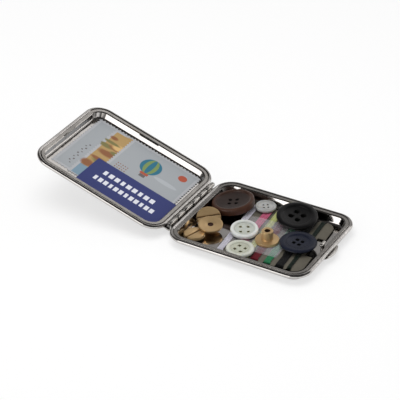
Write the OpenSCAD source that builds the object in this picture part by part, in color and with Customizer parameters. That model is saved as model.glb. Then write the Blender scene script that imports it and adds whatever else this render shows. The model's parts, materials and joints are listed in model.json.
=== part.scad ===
// Sewing tin: a flat hinged metal case, laid open, with buttons, binding screws
// and a thread card in the base and stamps in the lid.
// Origin at the centre of the base's underside, +X towards the catch, +Z up.

/* [Case] */
// Length of each half over its rolled rim
case_l = 68.9; // [60:0.1:80]
// Width of each half over its rolled rim
case_w = 55.4; // [50:0.1:66]
// Corner radius over the rolled rim
corner_r = 9; // [7.5:0.1:12]
// Height of the base from its underside to the centre of its rolled rim
base_depth = 4.15; // [3.8:0.05:6]
// Height of the lid from its outer face to the centre of its rolled rim
lid_depth = 3.3; // [3.2:0.05:5]
// Sheet thickness of the base
base_sheet = 0.5; // [0.3:0.05:0.7]
// Sheet thickness of the lid
lid_sheet = 0.3; // [0.25:0.05:0.5]
// Outer radius of the bend between the base's floor and wall
base_bend_r = 2.6; // [1.2:0.1:3]
// Outer radius of the bend between the lid's floor and wall
lid_bend_r = 1.1; // [0.8:0.1:1.6]

/* [Rim] */
// Radius of the rolled rim
bead_r = 0.95; // [0.8:0.05:1.1]
// Distance from the rolled rim's centre line to the lip's inner edge
lip_inset = 2.45; // [2.2:0.05:3.2]
// Height of the lip's face above the rolled rim's centre line
lip_top = 0.85; // [0.6:0.05:0.95]
// Thickness of the rim frame
frame_t = 0.5; // [0.3:0.05:0.6]
// Width of the groove between rolled rim and rim frame, from the rim's centre line
groove_inset = 0.9; // [0.9:0.05:1.2]
// Rounding of the lip's inner edge
lip_round = 0.22; // [0.1:0.02:0.28]
// Gap between the two rolled rims when the tin is shut
shut_gap = 0.2; // [0.1:0.05:0.4]
// Length of the slit under the lip in the lid's far wall
slit_l = 10.7; // [6:0.1:20]
// Middle of that slit along the lid
slit_x = -2.6; // [-10:0.1:10]
// Height of that slit
slit_h = 0.6; // [0.3:0.05:0.8]

/* [Hinge] */
// Distance from the rolled rim's centre line to the hinge axis
hinge_gap = 2.26; // [2.2:0.02:3]
// Angle through which the lid opens
open_angle = 162.92; // [150:0.1:170]
// Length of the hinge
hinge_l = 39.6; // [30:0.1:40]
// Number of knuckles
knuckles = 6; // [4:1:9]
// Axial gap between knuckles
knuckle_gap = 0.12; // [0.08:0.01:0.3]
// Outside radius of a knuckle
knuckle_r = 1.1; // [1:0.05:1.2]
// Radius of the hinge pin
pin_r = 0.6; // [0.5:0.05:0.7]
// Radial clearance of the pin in the lid's knuckles
pin_clearance = 0.05; // [0.03:0.01:0.1]
// Radial clearance of the pin in the base's knuckles
pin_seat = 0.01; // [0.01:0.01:0.02]
// Thickness of a hinge leaf
leaf_t = 0.6; // [0.4:0.05:0.7]
// Gap left between the two leaves' stop edges with the lid open
stop_gap = 0.06; // [0.04:0.01:0.12]

/* [Catch] */
// Travel of the catch when its tab is pressed
catch_travel = 0.5; // [0.3:0.05:0.6]
// Thickness of the catch strip
strip_t = 0.45; // [0.3:0.05:0.6]
// Width of the catch strip
strip_w = 4.4; // [3:0.1:6]
// Underside of the catch strip above the base's underside
strip_z = 2.3; // [2.2:0.05:2.5]
// Clearance of the catch strip in its slot
strip_clearance = 0.1; // [0.05:0.01:0.15]
// Width of the hook
hook_w = 2.8; // [2:0.1:4]
// Radius of the hook's rounded bar
ball_r = 0.75; // [0.6:0.05:0.9]
// How far the lid's catch tongue stands in from the lip
tongue_reach = 0.3; // [0.2:0.05:0.6]
// Width of the lid's catch tongue
tongue_w = 9; // [6:0.5:12]
// Clearance between the hook's bar and the tongue
ball_clearance = 0.1; // [0.08:0.01:0.2]
// Width of the thumb tab
tab_w = 12.2; // [8:0.1:14]
// How far the thumb tab stands out from the rolled rim
tab_reach = 1.6; // [1.3:0.05:2.5]
// Radius of the thumb tab's outline
tab_r = 12; // [9:0.5:16]
// Radius of a catch rivet
rivet_r = 0.4; // [0.3:0.05:0.5]
// Thickness of the catch spring's leaf
spring_t = 0.25; // [0.2:0.01:0.3]

/* [Thread card] */
// Length of the card
card_l = 40.7; // [38:0.1:42]
// Height of the card
card_h = 41; // [36:0.5:42]
// Thickness of the card
card_t = 0.6; // [0.4:0.05:0.8]
// Turn of the card on the floor
card_turn = 4; // [0:0.5:6]
// Thickness of the thread above and below the card
thread_over = 0.6; // [0.4:0.05:0.7]
// Thickness of the thread under the card
thread_under = 0.3; // [0.2:0.05:0.4]
// Depth of the notches that the threads lie in
notch_d = 0.9; // [0.6:0.05:1.2]
// Thickness of the clear film over the threads
film_t = 0.1; // [0.05:0.01:0.15]

/* [Buttons] */
// Diameter of the brown button
brown_d = 19.3; // [17:0.1:19.4]
// Diameter of the black button
black_d = 18.5; // [16:0.1:18.7]
// Diameter of the navy button
navy_d = 16.6; // [15:0.1:16.8]
// Diameter of the two shirt buttons
shirt_d = 12.5; // [10:0.1:12.6]
// Diameter of the small clear button
clear_d = 9.6; // [8:0.1:10]

/* [Binding screws] */
// Diameter of the post's head
post_head_d = 10.6; // [9:0.1:10.8]
// Diameter of the far screw's head
far_head_d = 11.3; // [9:0.1:11.5]
// Diameter of the near screw's head
near_head_d = 9.8; // [9:0.1:10.2]
// Diameter of the pierced cap
cap_d = 11.2; // [9:0.1:11.4]
// Thickness of a head
head_t = 1.2; // [0.8:0.05:1.4]
// Outside diameter of the post's barrel
barrel_d = 5.2; // [4:0.1:6]
// Length of the barrel under the head
barrel_l = 4.4; // [3:0.1:4.8]
// Thread diameter of the screws
screw_d = 3; // [2:0.1:3.5]
// Width of a screwdriver slot
slot_w = 0.7; // [0.4:0.05:1]

/* [Stamps] */
// Thickness of one stamp
stamp_t = 0.1; // [0.05:0.01:0.12]
// Length of the large stamp
large_stamp_l = 38; // [30:0.5:39]
// Height of the stamps
stamp_h = 42; // [36:0.5:43]
// Length of the blue label
label_l = 42.8; // [36:0.5:43]
// Height of the blue label
label_h = 19.6; // [14:0.1:22]

/* [Hidden] */
$fn = 48;
// Small overlap that keeps joined faces of one solid from only touching
bite = 0.02;
// Reach of a cut past the faces that it goes through
past = 1;

// The rolled rim's centre line: its length, width and corner radius
line_l = case_l - 2 * bead_r;
line_w = case_w - 2 * bead_r;
line_r = corner_r - bead_r;
// Height of the parting plane and hinge axis above the rims' centre lines
parting = bead_r + shut_gap / 2;
// Hinge axis in the part's frame
hinge_x = -(line_l / 2 + hinge_gap);
hinge_z = base_depth + parting;
// The open lid's rise above level
lid_tilt = 180 - open_angle;
// Inner wall faces and floor of the base
inner_x = line_l / 2 - lip_inset;
inner_y = line_w / 2 - lip_inset;
floor_z = base_sheet;
// The lid's floor in the lid's own frame, whose zero is its rim's centre line
lid_floor = lid_sheet - lid_depth;

// Hinge: space along the axis for one knuckle, and the leaf's heights from the axis
knuckle_pitch = hinge_l / knuckles;
leaf_drop = parting + bead_r + 0.15;
web_x = 0.4;
web_t = 0.65;
heel_x = -leaf_drop * tan(lid_tilt / 2) + stop_gap / 2;
pin_head_r = 0.95;
pin_head_t = 0.4;

// Catch: places along X, all from the end wall and the lid's tongue; the ball is the bar's end
wall_out_x = inner_x + base_sheet;
ball_x = inner_x - tongue_reach - ball_clearance - ball_r;
// Height of the bar, above the tongue of the shut lid
ball_z = hinge_z + parting - lip_top + frame_t + 0.15;
post_t = 0.6;
shoulder_t = 0.7;
shoulder_w = strip_w + 2.4;
tab_out_x = case_l / 2 + tab_reach;
// The tab's raised part stays clear of the rolled rim when pressed
pad_x = case_l / 2 + catch_travel + 0.1;
foot_x = line_l / 2 - 0.3;
foot_t = 0.3;
pad_top_z = base_depth - 0.3;
rivet_x = line_l / 2 + 0.4;
rivet_pitch = 2.8;
rivet_head_t = 0.12;
spring_half_l = 5.2;
spring_low_z = strip_z - 0.6;
spring_high_z = strip_z + strip_t + 0.15;
spring_in_x = wall_out_x + 0.05;
spring_bow = foot_x - spring_in_x - 0.05;
spring_r = (spring_half_l * spring_half_l + spring_bow * spring_bow) / (2 * spring_bow);

// Thread card: its centre, heights, and each winding's place and width along it
card_x = inner_x - 24.1;
card_y = 0.5;
card_z = floor_z + thread_under;
thread_top = card_z + card_t + thread_over;
film_top = thread_top + film_t;
lobe_r = 4.5;
recess_w = 15;
recess_d = 3.6;
// White, pink, yellow, red, green, black and dark green, from the hinge side
thread_x = [-18.1, -10.95, -6.15, -1.65, 4.3, 10.2, 14.6];
thread_w = [3.2, 3.8, 3.4, 3.8, 3.4, 4, 2.2];
film_from = [-18.05, -15.3];
film_size = [24.8, 25.7];
// Height at which a piece rests on the film and threads
seat_z = film_top + 0.03;
rest_gap = 0.05;

// Places of the loose pieces. Those near the hinge keep to its wall, those along a side keep
// to that side's wall, and the others keep to a neighbour, which pushes them in a short case
brown_x = -inner_x + 10.5;
brown_y = inner_y - 12;
brown_lean = 9;
// The brown button lies on the floor, or on the near edge of the white thread if that reaches it
white_edge_x = card_x + thread_x[0] - thread_w[0] / 2 - 0.8;
brown_z = max(floor_z + 1.06, thread_top + rest_gap - sin(brown_lean) * (white_edge_x - brown_x));
clear_x = -inner_x + 23.45;
clear_y = inner_y - 6.1;
black_y = inner_y - 9.35;
navy_x = min(18.8, ball_x - post_t / 2 - navy_d / 2 - rest_gap);
navy_y = black_y - 16.35;
brass_post_x = min(5.45, navy_x - 12.8);
cream_y = 6.6 - inner_y;
pearl_x = min(-6.4, brass_post_x - 11.6);
pearl_y = cream_y + 13.6;
far_screw_x = -inner_x + 5.4;
far_screw_y = brown_y - 14.2;
near_screw_x = -inner_x + 5.95;
cap_x = -inner_x + 9.95;
cap_y = far_screw_y - 6.43;

// Holes of the buttons: how far each stands from the middle
big_hole_r = 1.05;
mid_hole_r = 0.8;
small_hole_r = 0.7;
tiny_hole_r = 0.45;
hole_fn = 24;

// Stamps: heights of their layers in the lid's frame, and places along the lid
layer_1 = lid_floor;
layer_2 = layer_1 + stamp_t;
layer_3 = layer_2 + stamp_t;
layer_4 = layer_3 + stamp_t;
paper_far_y = line_w / 2 - 3.6;
large_stamp_x = line_l / 2 - 4.65 - large_stamp_l;
floor_inset = lip_inset - lid_sheet + lid_bend_r;

// Flat outline with round corners, from its length, width and corner radius
module round_rect(l, w, r) {
    square([l - 2 * r, w], center = true);
    square([l, w - 2 * r], center = true);
    for (x = [-1, 1], y = [-1, 1])
        translate([x * (l / 2 - r), y * (w / 2 - r)]) circle(r);
}

// Carries a section round the rolled rim's centre line; the section's x points outwards
module round_the_rim() {
    for (x = [-1, 1], y = [-1, 1])
        translate([x * (line_l / 2 - line_r), y * (line_w / 2 - line_r), 0])
            mirror([x < 0 ? 1 : 0, 0, 0]) mirror([0, y < 0 ? 1 : 0, 0])
                rotate_extrude(angle = 90) translate([line_r, 0]) children();
    for (side = [-1, 1]) {
        mirror([side < 0 ? 1 : 0, 0, 0])
            translate([line_l / 2, line_w / 2 - line_r, 0])
                rotate([90, 0, 0]) linear_extrude(line_w - 2 * line_r) children();
        mirror([0, side < 0 ? 1 : 0, 0])
            translate([line_r - line_l / 2, line_w / 2, 0]) rotate([90, 0, 90])
                linear_extrude(line_l - 2 * line_r) children();
    }
}

// Section of a shell: rolled rim, flange, wall and bend down to the floor
module shell_section(depth, sheet, bend) {
    wall_out = lip_inset - sheet;
    circle(bead_r);
    translate([-lip_inset, lip_top - frame_t - sheet]) square([lip_inset, sheet]);
    translate([-lip_inset, bend - depth])
        square([sheet, depth - bend + lip_top - frame_t]);
    intersection() {
        difference() {
            translate([-wall_out - bend, bend - depth]) circle(bend);
            translate([-wall_out - bend, bend - depth]) circle(bend - sheet);
        }
        translate([-wall_out - bend, -depth]) square([bend, bend]);
    }
}

// A drawn tray with its rolled rim; the rim's centre line is at z = 0
module tray(depth, sheet, bend) {
    edge = lip_inset - sheet + bend;
    round_the_rim() shell_section(depth, sheet, bend);
    translate([0, 0, -depth]) linear_extrude(sheet)
        round_rect(line_l - 2 * edge, line_w - 2 * edge, line_r - edge);
}

// The flat frame that lies on the shell's flange, its inner edge rounded
module rim_frame() {
    low = lip_top - frame_t;
    round_the_rim() {
        translate([lip_round - lip_inset, low])
            square([lip_inset - groove_inset - lip_round, frame_t]);
        translate([-lip_inset, low]) square([lip_round + bite, frame_t - lip_round]);
        translate([lip_round - lip_inset, lip_top - lip_round]) circle(lip_round);
    }
}

// Puts a half that is drawn flat, hinge towards +X, into the open lid's place
module in_the_lid() {
    translate([hinge_x, 0, hinge_z]) rotate([0, lid_tilt, 0])
        translate([-(line_l / 2 + hinge_gap), 0, -parting]) children();
}

module in_the_base() {
    translate([0, 0, base_depth]) children();
}

// A hinge leaf about the axis: a strip under the rolled rim, and every other knuckle
module hinge_leaf(first, sheet, bore_r) {
    wall_x = hinge_gap + lip_inset - sheet;
    low_z = -leaf_drop - leaf_t;
    difference() {
        union() {
            translate([heel_x, -hinge_l / 2, low_z])
                cube([wall_x - heel_x, hinge_l, leaf_t]);
            for (k = [first : 2 : knuckles - 1])
                translate([0, -hinge_l / 2 + k * knuckle_pitch + knuckle_gap / 2, 0]) {
                    translate([web_x, 0, -leaf_drop - bite])
                        cube([web_t, knuckle_pitch - knuckle_gap, leaf_drop + bite]);
                    rotate([-90, 0, 0]) cylinder(r = knuckle_r, h = knuckle_pitch - knuckle_gap);
                }
        }
        translate([0, -hinge_l / 2 - past, 0]) rotate([-90, 0, 0])
            cylinder(r = bore_r, h = hinge_l + 2 * past);
    }
}

module base_shell() {
    color([0.66, 0.65, 0.63]) difference() {
        in_the_base() tray(base_depth, base_sheet, base_bend_r);
        translate([inner_x - past, -strip_w / 2 - strip_clearance, strip_z - strip_clearance])
            cube([base_sheet + 2 * past, strip_w + 2 * strip_clearance,
                  strip_t + 2 * strip_clearance]);
    }
}

module base_rim_frame() {
    color([0.55, 0.54, 0.53]) in_the_base() rim_frame();
}

module base_hinge_leaf() {
    color([0.6, 0.59, 0.57]) translate([hinge_x, 0, hinge_z])
        hinge_leaf(0, base_sheet, pin_r + pin_seat);
}

module hinge_pin() {
    color([0.7, 0.69, 0.67]) translate([hinge_x, 0, hinge_z]) {
        translate([0, -hinge_l / 2, 0]) rotate([-90, 0, 0]) cylinder(r = pin_r, h = hinge_l);
        for (side = [-1, 1]) mirror([0, side < 0 ? 1 : 0, 0])
            translate([0, hinge_l / 2, 0]) rotate([-90, 0, 0])
                cylinder(r1 = pin_head_r, r2 = pin_r, h = pin_head_t);
    }
}

module lid_shell() {
    slit_low = lip_top - frame_t - lid_sheet - slit_h;
    color([0.68, 0.67, 0.65]) in_the_lid() difference() {
        tray(lid_depth, lid_sheet, lid_bend_r);
        translate([slit_x - slit_l / 2, inner_y - past, slit_low])
            cube([slit_l, lid_sheet + 2 * past, slit_h]);
    }
}

module lid_rim_frame() {
    low = lip_top - frame_t;
    color([0.62, 0.61, 0.58]) in_the_lid() {
        rim_frame();
        translate([-inner_x - lip_round, -tongue_w / 2, low])
            cube([tongue_reach + lip_round, tongue_w, frame_t]);
    }
}

module lid_hinge_leaf() {
    color([0.64, 0.62, 0.6]) in_the_lid()
        translate([line_l / 2 + hinge_gap, 0, parting]) mirror([1, 0, 0])
            hinge_leaf(1, lid_sheet, pin_r + pin_clearance);
}

// The strip through the end wall, its shoulder inside, and the hook with its rounded bar
module catch_hook_strip() {
    post_x = ball_x - post_t / 2;
    color([0.7, 0.69, 0.67]) difference() {
        union() {
            translate([post_x, -strip_w / 2, strip_z])
                cube([tab_out_x - 0.7 - post_x, strip_w, strip_t]);
            translate([inner_x - strip_clearance - shoulder_t, -shoulder_w / 2, strip_z])
                cube([shoulder_t, shoulder_w, strip_t]);
            translate([post_x, -hook_w / 2, strip_z]) cube([post_t, hook_w, ball_z - strip_z]);
            translate([ball_x, -hook_w / 2, ball_z]) rotate([-90, 0, 0])
                cylinder(r = ball_r, h = hook_w);
            for (side = [-1, 1]) translate([ball_x, side * hook_w / 2, ball_z]) sphere(ball_r);
        }
        rivet_places() cylinder(r = rivet_r, h = 2 * past, center = true, $fn = hole_fn);
    }
}

module rivet_places() {
    for (side = [-1, 1]) translate([rivet_x, side * rivet_pitch / 2, strip_z + strip_t])
        children();
}

module catch_thumb_tab() {
    foot_z = strip_z + strip_t;
    color([0.72, 0.71, 0.69]) difference() {
        union() {
            translate([0, 0, foot_z]) linear_extrude(foot_t) tab_outline(foot_x);
            translate([0, 0, foot_z]) linear_extrude(pad_top_z - foot_z) tab_outline(pad_x);
        }
        rivet_places() cylinder(r = rivet_r, h = 2 * past, center = true, $fn = hole_fn);
    }
}

// The tab seen from above: a shallow arc, cut off on the case's side at from_x
module tab_outline(from_x) {
    intersection() {
        translate([tab_out_x - tab_r, 0]) circle(tab_r, $fn = 96);
        translate([from_x, -tab_w / 2]) square([tab_out_x - from_x + past, tab_w]);
    }
}

module catch_rivets() {
    color([0.6, 0.59, 0.57]) rivet_places() {
        translate([0, 0, -strip_t - rivet_head_t])
            cylinder(r = rivet_r, h = strip_t + foot_t + 2 * rivet_head_t, $fn = hole_fn);
        for (z = [-strip_t - rivet_head_t, foot_t])
            translate([0, 0, z]) cylinder(r = rivet_r + 0.25, h = rivet_head_t, $fn = hole_fn);
    }
}

// A bowed leaf between the end wall and the tab's foot, open in the middle for the strip
module catch_spring() {
    window_w = strip_w + 0.6;
    color([0.5, 0.5, 0.52]) difference() {
        translate([0, 0, spring_low_z]) linear_extrude(spring_high_z - spring_low_z)
            intersection() {
                translate([spring_in_x + spring_bow - spring_r, 0]) difference() {
                    circle(spring_r, $fn = 96);
                    circle(spring_r - spring_t, $fn = 96);
                }
                translate([spring_in_x, -spring_half_l])
                    square([spring_bow + past, 2 * spring_half_l]);
            }
        translate([spring_in_x - past, -window_w / 2, strip_z - strip_clearance])
            cube([spring_bow + 2 * past, window_w, past]);
    }
}

module on_the_card() {
    translate([card_x, card_y, 0]) rotate(card_turn) children();
}

module thread_card() {
    color([0.46, 0.44, 0.38]) on_the_card() translate([0, 0, card_z]) linear_extrude(card_t)
        difference() {
            round_rect(card_l, card_h, lobe_r);
            for (k = [0 : len(thread_x) - 1], side = [-1, 1])
                translate([thread_x[k], side * card_h / 2])
                    square([thread_w[k], 2 * notch_d], center = true);
            for (side = [-1, 1]) translate([side * card_l / 2, 0])
                square([2 * recess_d, recess_w], center = true);
        }
}

// One band of thread wound round the card, lying in its notches
module winding(k) {
    reach = card_h / 2 - notch_d + thread_under;
    height = thread_top - floor_z;
    on_the_card() translate([thread_x[k] - thread_w[k] / 2, 0, 0])
        rotate([90, 0, 90]) linear_extrude(thread_w[k]) difference() {
            translate([0, floor_z + height / 2]) round_rect(2 * reach, height, height / 2 - bite);
            translate([0, card_z + card_t / 2])
                square([card_h - 2 * notch_d, card_t], center = true);
        }
}

module clear_film() {
    color([0.85, 0.84, 0.88, 0.6]) on_the_card()
        translate([film_from[0], film_from[1], thread_top]) linear_extrude(film_t)
            square(film_size);
}

// Lays a piece at a place, leaning by an angle with its low side towards a bearing
module lay(place, lean, bearing) {
    translate(place) rotate(bearing) rotate([0, lean, 0]) rotate(-bearing) children();
}

// A button about z: its back, domed by back_h, is at z = 0; then its edge and dished face
module button(d, back_h, edge_h, face_d, dish, hole_r, pitch) {
    r = d / 2;
    top = back_h + edge_h;
    flat_r = r * 0.6;
    soft = min(0.3, edge_h / 3);
    difference() {
        rotate_extrude() polygon([
            [0, 0], [flat_r, 0], [(flat_r + r) / 2, back_h * 0.35], [r - soft, back_h],
            [r, back_h + soft], [r, top - soft], [r - soft, top], [face_d / 2 + dish, top],
            [face_d / 2, top - dish], [0, top - dish]]);
        for (x = [-1, 1], y = [-1, 1]) translate([x * pitch / 2, y * pitch / 2, -past])
            cylinder(r = hole_r, h = top + 2 * past, $fn = hole_fn);
    }
}

module brown_button() {
    color([0.3, 0.18, 0.13]) lay([brown_x, brown_y, brown_z], brown_lean, 188)
        rotate(20) button(brown_d, 1, 3.4, brown_d - 5, 0.7, mid_hole_r, 3.1);
}

module clear_button() {
    color([0.8, 0.8, 0.77]) lay([clear_x, clear_y, thread_top + rest_gap], 0, 0)
        rotate(35) button(clear_d, 0.3, 1.3, clear_d - 2.6, 0.3, tiny_hole_r, 2);
}

module black_button() {
    color([0.1, 0.1, 0.11]) lay([9.76, black_y, film_top + 0.73], 7, -60)
        rotate(-15) button(black_d, 2.4, 1.2, black_d * 0.62, 0.5, big_hole_r, 4.3);
}

module navy_button() {
    color([0.13, 0.16, 0.24]) lay([navy_x, navy_y, film_top + rest_gap], 0, 0)
        rotate(-8) button(navy_d, 1.3, 1.1, navy_d * 0.56, 0.45, mid_hole_r, 3.5);
}

module pearl_button() {
    color([0.9, 0.9, 0.88]) lay([pearl_x, pearl_y, film_top + 0.38], 5, -60)
        rotate(30) button(shirt_d, 0.6, 1.9, shirt_d - 4, 0.6, small_hole_r, 3);
}

module cream_button() {
    color([0.86, 0.86, 0.8]) lay([-1.1, cream_y, film_top + rest_gap], 0, 0)
        rotate(-12) button(shirt_d, 0.5, 1.6, shirt_d - 4.2, 0.5, small_hole_r, 3.2);
}

// Female half of a binding screw, standing on its head, bored from the top
module brass_post() {
    color([0.78, 0.62, 0.38]) translate([brass_post_x, -5, seat_z]) difference() {
        union() {
            cylinder(d = post_head_d, h = head_t);
            cylinder(d = barrel_d, h = head_t + barrel_l);
        }
        translate([0, 0, head_t]) cylinder(d = screw_d - 0.4, h = barrel_l + past, $fn = hole_fn);
    }
}

// Male half of a binding screw on its shank: slotted head, then a plain shank below
module slotted_screw(head_d, shank_l, slot_turn) {
    difference() {
        union() {
            translate([0, 0, shank_l]) cylinder(d1 = head_d, d2 = head_d - 0.8, h = head_t);
            cylinder(d = screw_d, h = shank_l + bite, $fn = hole_fn);
        }
        rotate(slot_turn) translate([0, 0, shank_l + head_t])
            cube([head_d + past, slot_w, head_t], center = true);
    }
}

module far_slotted_screw() {
    color([0.76, 0.6, 0.36]) lay([far_screw_x, far_screw_y, floor_z + 0.52], 19, -60)
        slotted_screw(far_head_d, 2.25, 40);
}

module near_slotted_screw() {
    color([0.78, 0.62, 0.38]) lay([near_screw_x, -15.8, floor_z + rest_gap], 0, 0)
        slotted_screw(near_head_d, 0.9, 73);
}

// A shallow brass cap with a blind hole in its middle, lying across the two screws
module brass_cap() {
    color([0.8, 0.65, 0.42]) lay([cap_x, cap_y, floor_z + 2.84], 6, -60) difference() {
        cylinder(d1 = cap_d - 0.6, d2 = cap_d, h = head_t);
        translate([0, 0, head_t / 3]) cylinder(d = screw_d - 0.6, h = head_t, $fn = hole_fn);
    }
}

// A paper piece on the lid's floor, from one corner, kept inside the bends
module paper(from, size, z, t) {
    in_the_lid() translate([0, 0, z]) linear_extrude(t) intersection() {
        translate(from) square(size);
        round_rect(line_l - 2 * floor_inset - rest_gap, line_w - 2 * floor_inset - rest_gap,
                   line_r - floor_inset);
    }
}

module grey_stamp() {
    color([0.7, 0.73, 0.75]) paper([-28.1, paper_far_y - stamp_h], [24, stamp_h], layer_1, stamp_t);
}

module picture_stamp() {
    color([0.62, 0.55, 0.36])
        paper([-18.8, paper_far_y - stamp_h - 0.6], [24, stamp_h], layer_2, stamp_t);
}

module large_stamp() {
    color([0.78, 0.79, 0.8])
        paper([large_stamp_x, paper_far_y - stamp_h], [large_stamp_l, stamp_h], layer_3, stamp_t);
}

module blue_label() {
    color([0.22, 0.26, 0.48])
        paper([-12.9, -1.5 - label_h], [label_l, label_h], layer_4, stamp_t);
}

base_shell();
base_rim_frame();
base_hinge_leaf();
hinge_pin();
lid_shell();
lid_rim_frame();
lid_hinge_leaf();
catch_hook_strip();
catch_thumb_tab();
catch_rivets();
catch_spring();
thread_card();
color([0.78, 0.77, 0.82]) winding(0);  // white_thread
color([0.75, 0.42, 0.5]) winding(1);  // pink_thread
color([0.72, 0.74, 0.42]) winding(2);  // yellow_thread
color([0.4, 0.08, 0.12]) winding(3);  // red_thread
color([0.1, 0.45, 0.25]) winding(4);  // green_thread
color([0.08, 0.08, 0.09]) winding(5);  // black_thread
color([0.08, 0.2, 0.12]) winding(6);  // dark_green_thread
clear_film();
brown_button();
clear_button();
black_button();
navy_button();
pearl_button();
cream_button();
brass_post();
far_slotted_screw();
near_slotted_screw();
brass_cap();
grey_stamp();
picture_stamp();
large_stamp();
blue_label();
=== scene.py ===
"""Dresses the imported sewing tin: an open nickel case with its buttons, screws, threads and stamps."""

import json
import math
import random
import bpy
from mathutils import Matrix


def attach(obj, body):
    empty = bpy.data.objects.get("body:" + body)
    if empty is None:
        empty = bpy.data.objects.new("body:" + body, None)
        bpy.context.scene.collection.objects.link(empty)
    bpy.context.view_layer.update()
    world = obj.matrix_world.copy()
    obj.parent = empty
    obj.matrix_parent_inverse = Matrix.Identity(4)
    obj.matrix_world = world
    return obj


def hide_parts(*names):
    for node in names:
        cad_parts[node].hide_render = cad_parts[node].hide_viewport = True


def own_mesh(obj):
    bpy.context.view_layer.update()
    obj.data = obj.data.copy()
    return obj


bl_info = {
    "name": "Sewing Tin",
    "version": (1, 0, 0),
    "blender": (4, 5, 0),
    "location": "View3D > Sidebar > Sewing Tin",
    "description": "Models and finishes the pieces of an open sewing tin around its packed frame",
    "category": "Object",
}

import bpy
from bpy.props import FloatProperty, FloatVectorProperty, IntProperty, PointerProperty
from mathutils import Matrix, Vector

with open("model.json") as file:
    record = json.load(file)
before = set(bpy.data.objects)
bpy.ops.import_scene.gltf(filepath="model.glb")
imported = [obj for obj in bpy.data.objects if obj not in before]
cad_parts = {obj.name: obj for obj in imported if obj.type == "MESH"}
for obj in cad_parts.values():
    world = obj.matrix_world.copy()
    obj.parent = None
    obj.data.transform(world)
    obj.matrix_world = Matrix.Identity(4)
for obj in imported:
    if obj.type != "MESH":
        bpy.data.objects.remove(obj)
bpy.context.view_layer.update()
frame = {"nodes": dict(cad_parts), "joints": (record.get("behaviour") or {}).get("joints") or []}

MM = 0.001
HINGE = next(j for j in frame["joints"] if j["type"] == "hinge")
LID_TILT = math.pi - math.radians(HINGE["range_deg"][1])


# Settings

def colour(label, default, note):
    """A colour property in linear values, about as it looks in the render."""
    return FloatVectorProperty(name=label, description=note, subtype="COLOR", size=3, min=0, max=1,
                               default=default)


def length(label, default, note):
    """A length property in metres, from a default in millimetres."""
    return FloatProperty(name=label, description=note, unit="LENGTH", default=default * MM, precision=5)


def degrees(label, default, note):
    """An angle property, from a default in degrees."""
    return FloatProperty(name=label, description=note, subtype="ANGLE", default=math.radians(default))


def portion(label, default, note):
    """A property from 0 to 1."""
    return FloatProperty(name=label, description=note, subtype="FACTOR", min=0, max=1, default=default)


def whole_number(label, default, least, note):
    """A whole number that is never under its least value."""
    return IntProperty(name=label, description=note, default=default, min=least)


class StageSettings(bpy.types.PropertyGroup):
    """Camera, floor and light."""
    azimuth: degrees("Azimuth", 29.88, "Camera's turn from looking along +Y")
    elevation: degrees("Elevation", 32.54, "Camera's height above the horizon")
    distance: length("Distance", 793.9, "Camera's distance from its target")
    target: FloatVectorProperty(name="Target", description="Point that the camera looks at",
                                subtype="XYZ", unit="LENGTH", size=3,
                                default=(-0.03316, 0.00334, 0.00654))
    lens: FloatProperty(name="Lens", description="Focal length on a 36 mm sensor", unit="CAMERA",
                        default=159.51)
    floor_colour: colour("Floor", (0.98, 0.98, 0.98), "Colour of the pale floor")
    floor_lift: portion("Floor lift", 0.62, "Share of plain white in the floor, as it is seen")
    mirror_lift: portion("Mirrored lift", 0.1, "Share of plain white in the floor, as metal shows it")
    fill: FloatProperty(name="Fill light", description="Strength of the even light from all round",
                        default=0.55)
    key_power: FloatProperty(name="Key light", description="Power of the large soft lamp", unit="POWER",
                             default=2.1)


class CaseSettings(bpy.types.PropertyGroup):
    """The drawn metal case."""
    nickel: colour("Nickel", (0.64, 0.62, 0.60), "Colour of the nickel plate")
    lip_nickel: colour("Lip nickel", (0.50, 0.48, 0.455), "Colour of the rubbed lips")
    bead_r: length("Rolled rim radius", 0.95, "Radius of the rolled rim")
    corner_r: length("Corner radius", 8.05, "Corner radius of the rolled rim's centre line")
    lip_inset: length("Lip inset", 2.45, "From the rolled rim's centre line to the lip's inner edge")
    lip_top: length("Lip height", 0.85, "Lip's face above the rolled rim's centre line")
    frame_t: length("Lip thickness", 0.5, "Thickness of the flat frame that makes the lip")
    groove_inset: length("Groove", 0.9, "From the rolled rim's centre line to the lip's outer edge")
    base_sheet: length("Base sheet", 0.5, "Sheet thickness of the base")
    base_foot: length("Base foot", 4.55, "From the rolled rim's centre line to the base's floor")
    base_wall: length("Base wall top", 1.5, "From the rolled rim's centre line to the base wall's top")
    lid_sheet: length("Lid sheet", 0.3, "Sheet thickness of the lid")
    lid_foot: length("Lid foot", 3.65, "From the rolled rim's centre line to the lid's floor")
    lid_wall: length("Lid wall top", 1.3, "From the rolled rim's centre line to the lid wall's top")
    lean: degrees("Lean", 65, "Slope of the walls from the floor")
    slit_l: length("Slit", 10.7, "Length of the slit in the lid's far wall")
    slit_x: length("Slit place", -2.6, "From the lid's middle to the slit's middle, towards the hinge")
    slit_h: length("Slit height", 0.6, "Height of the slit in the wall")
    slit_z: length("Slit place upwards", -0.62, "From the rolled rim's centre line up to the slit")
    tongue_w: length("Tongue width", 9, "Width of the lid lip's tongue, which the hook holds")
    tongue_reach: length("Tongue reach", 0.3, "How far the tongue stands in from the lip")
    corner_steps: whole_number("Corner steps", 16, 4, "Segments in each corner")


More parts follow.
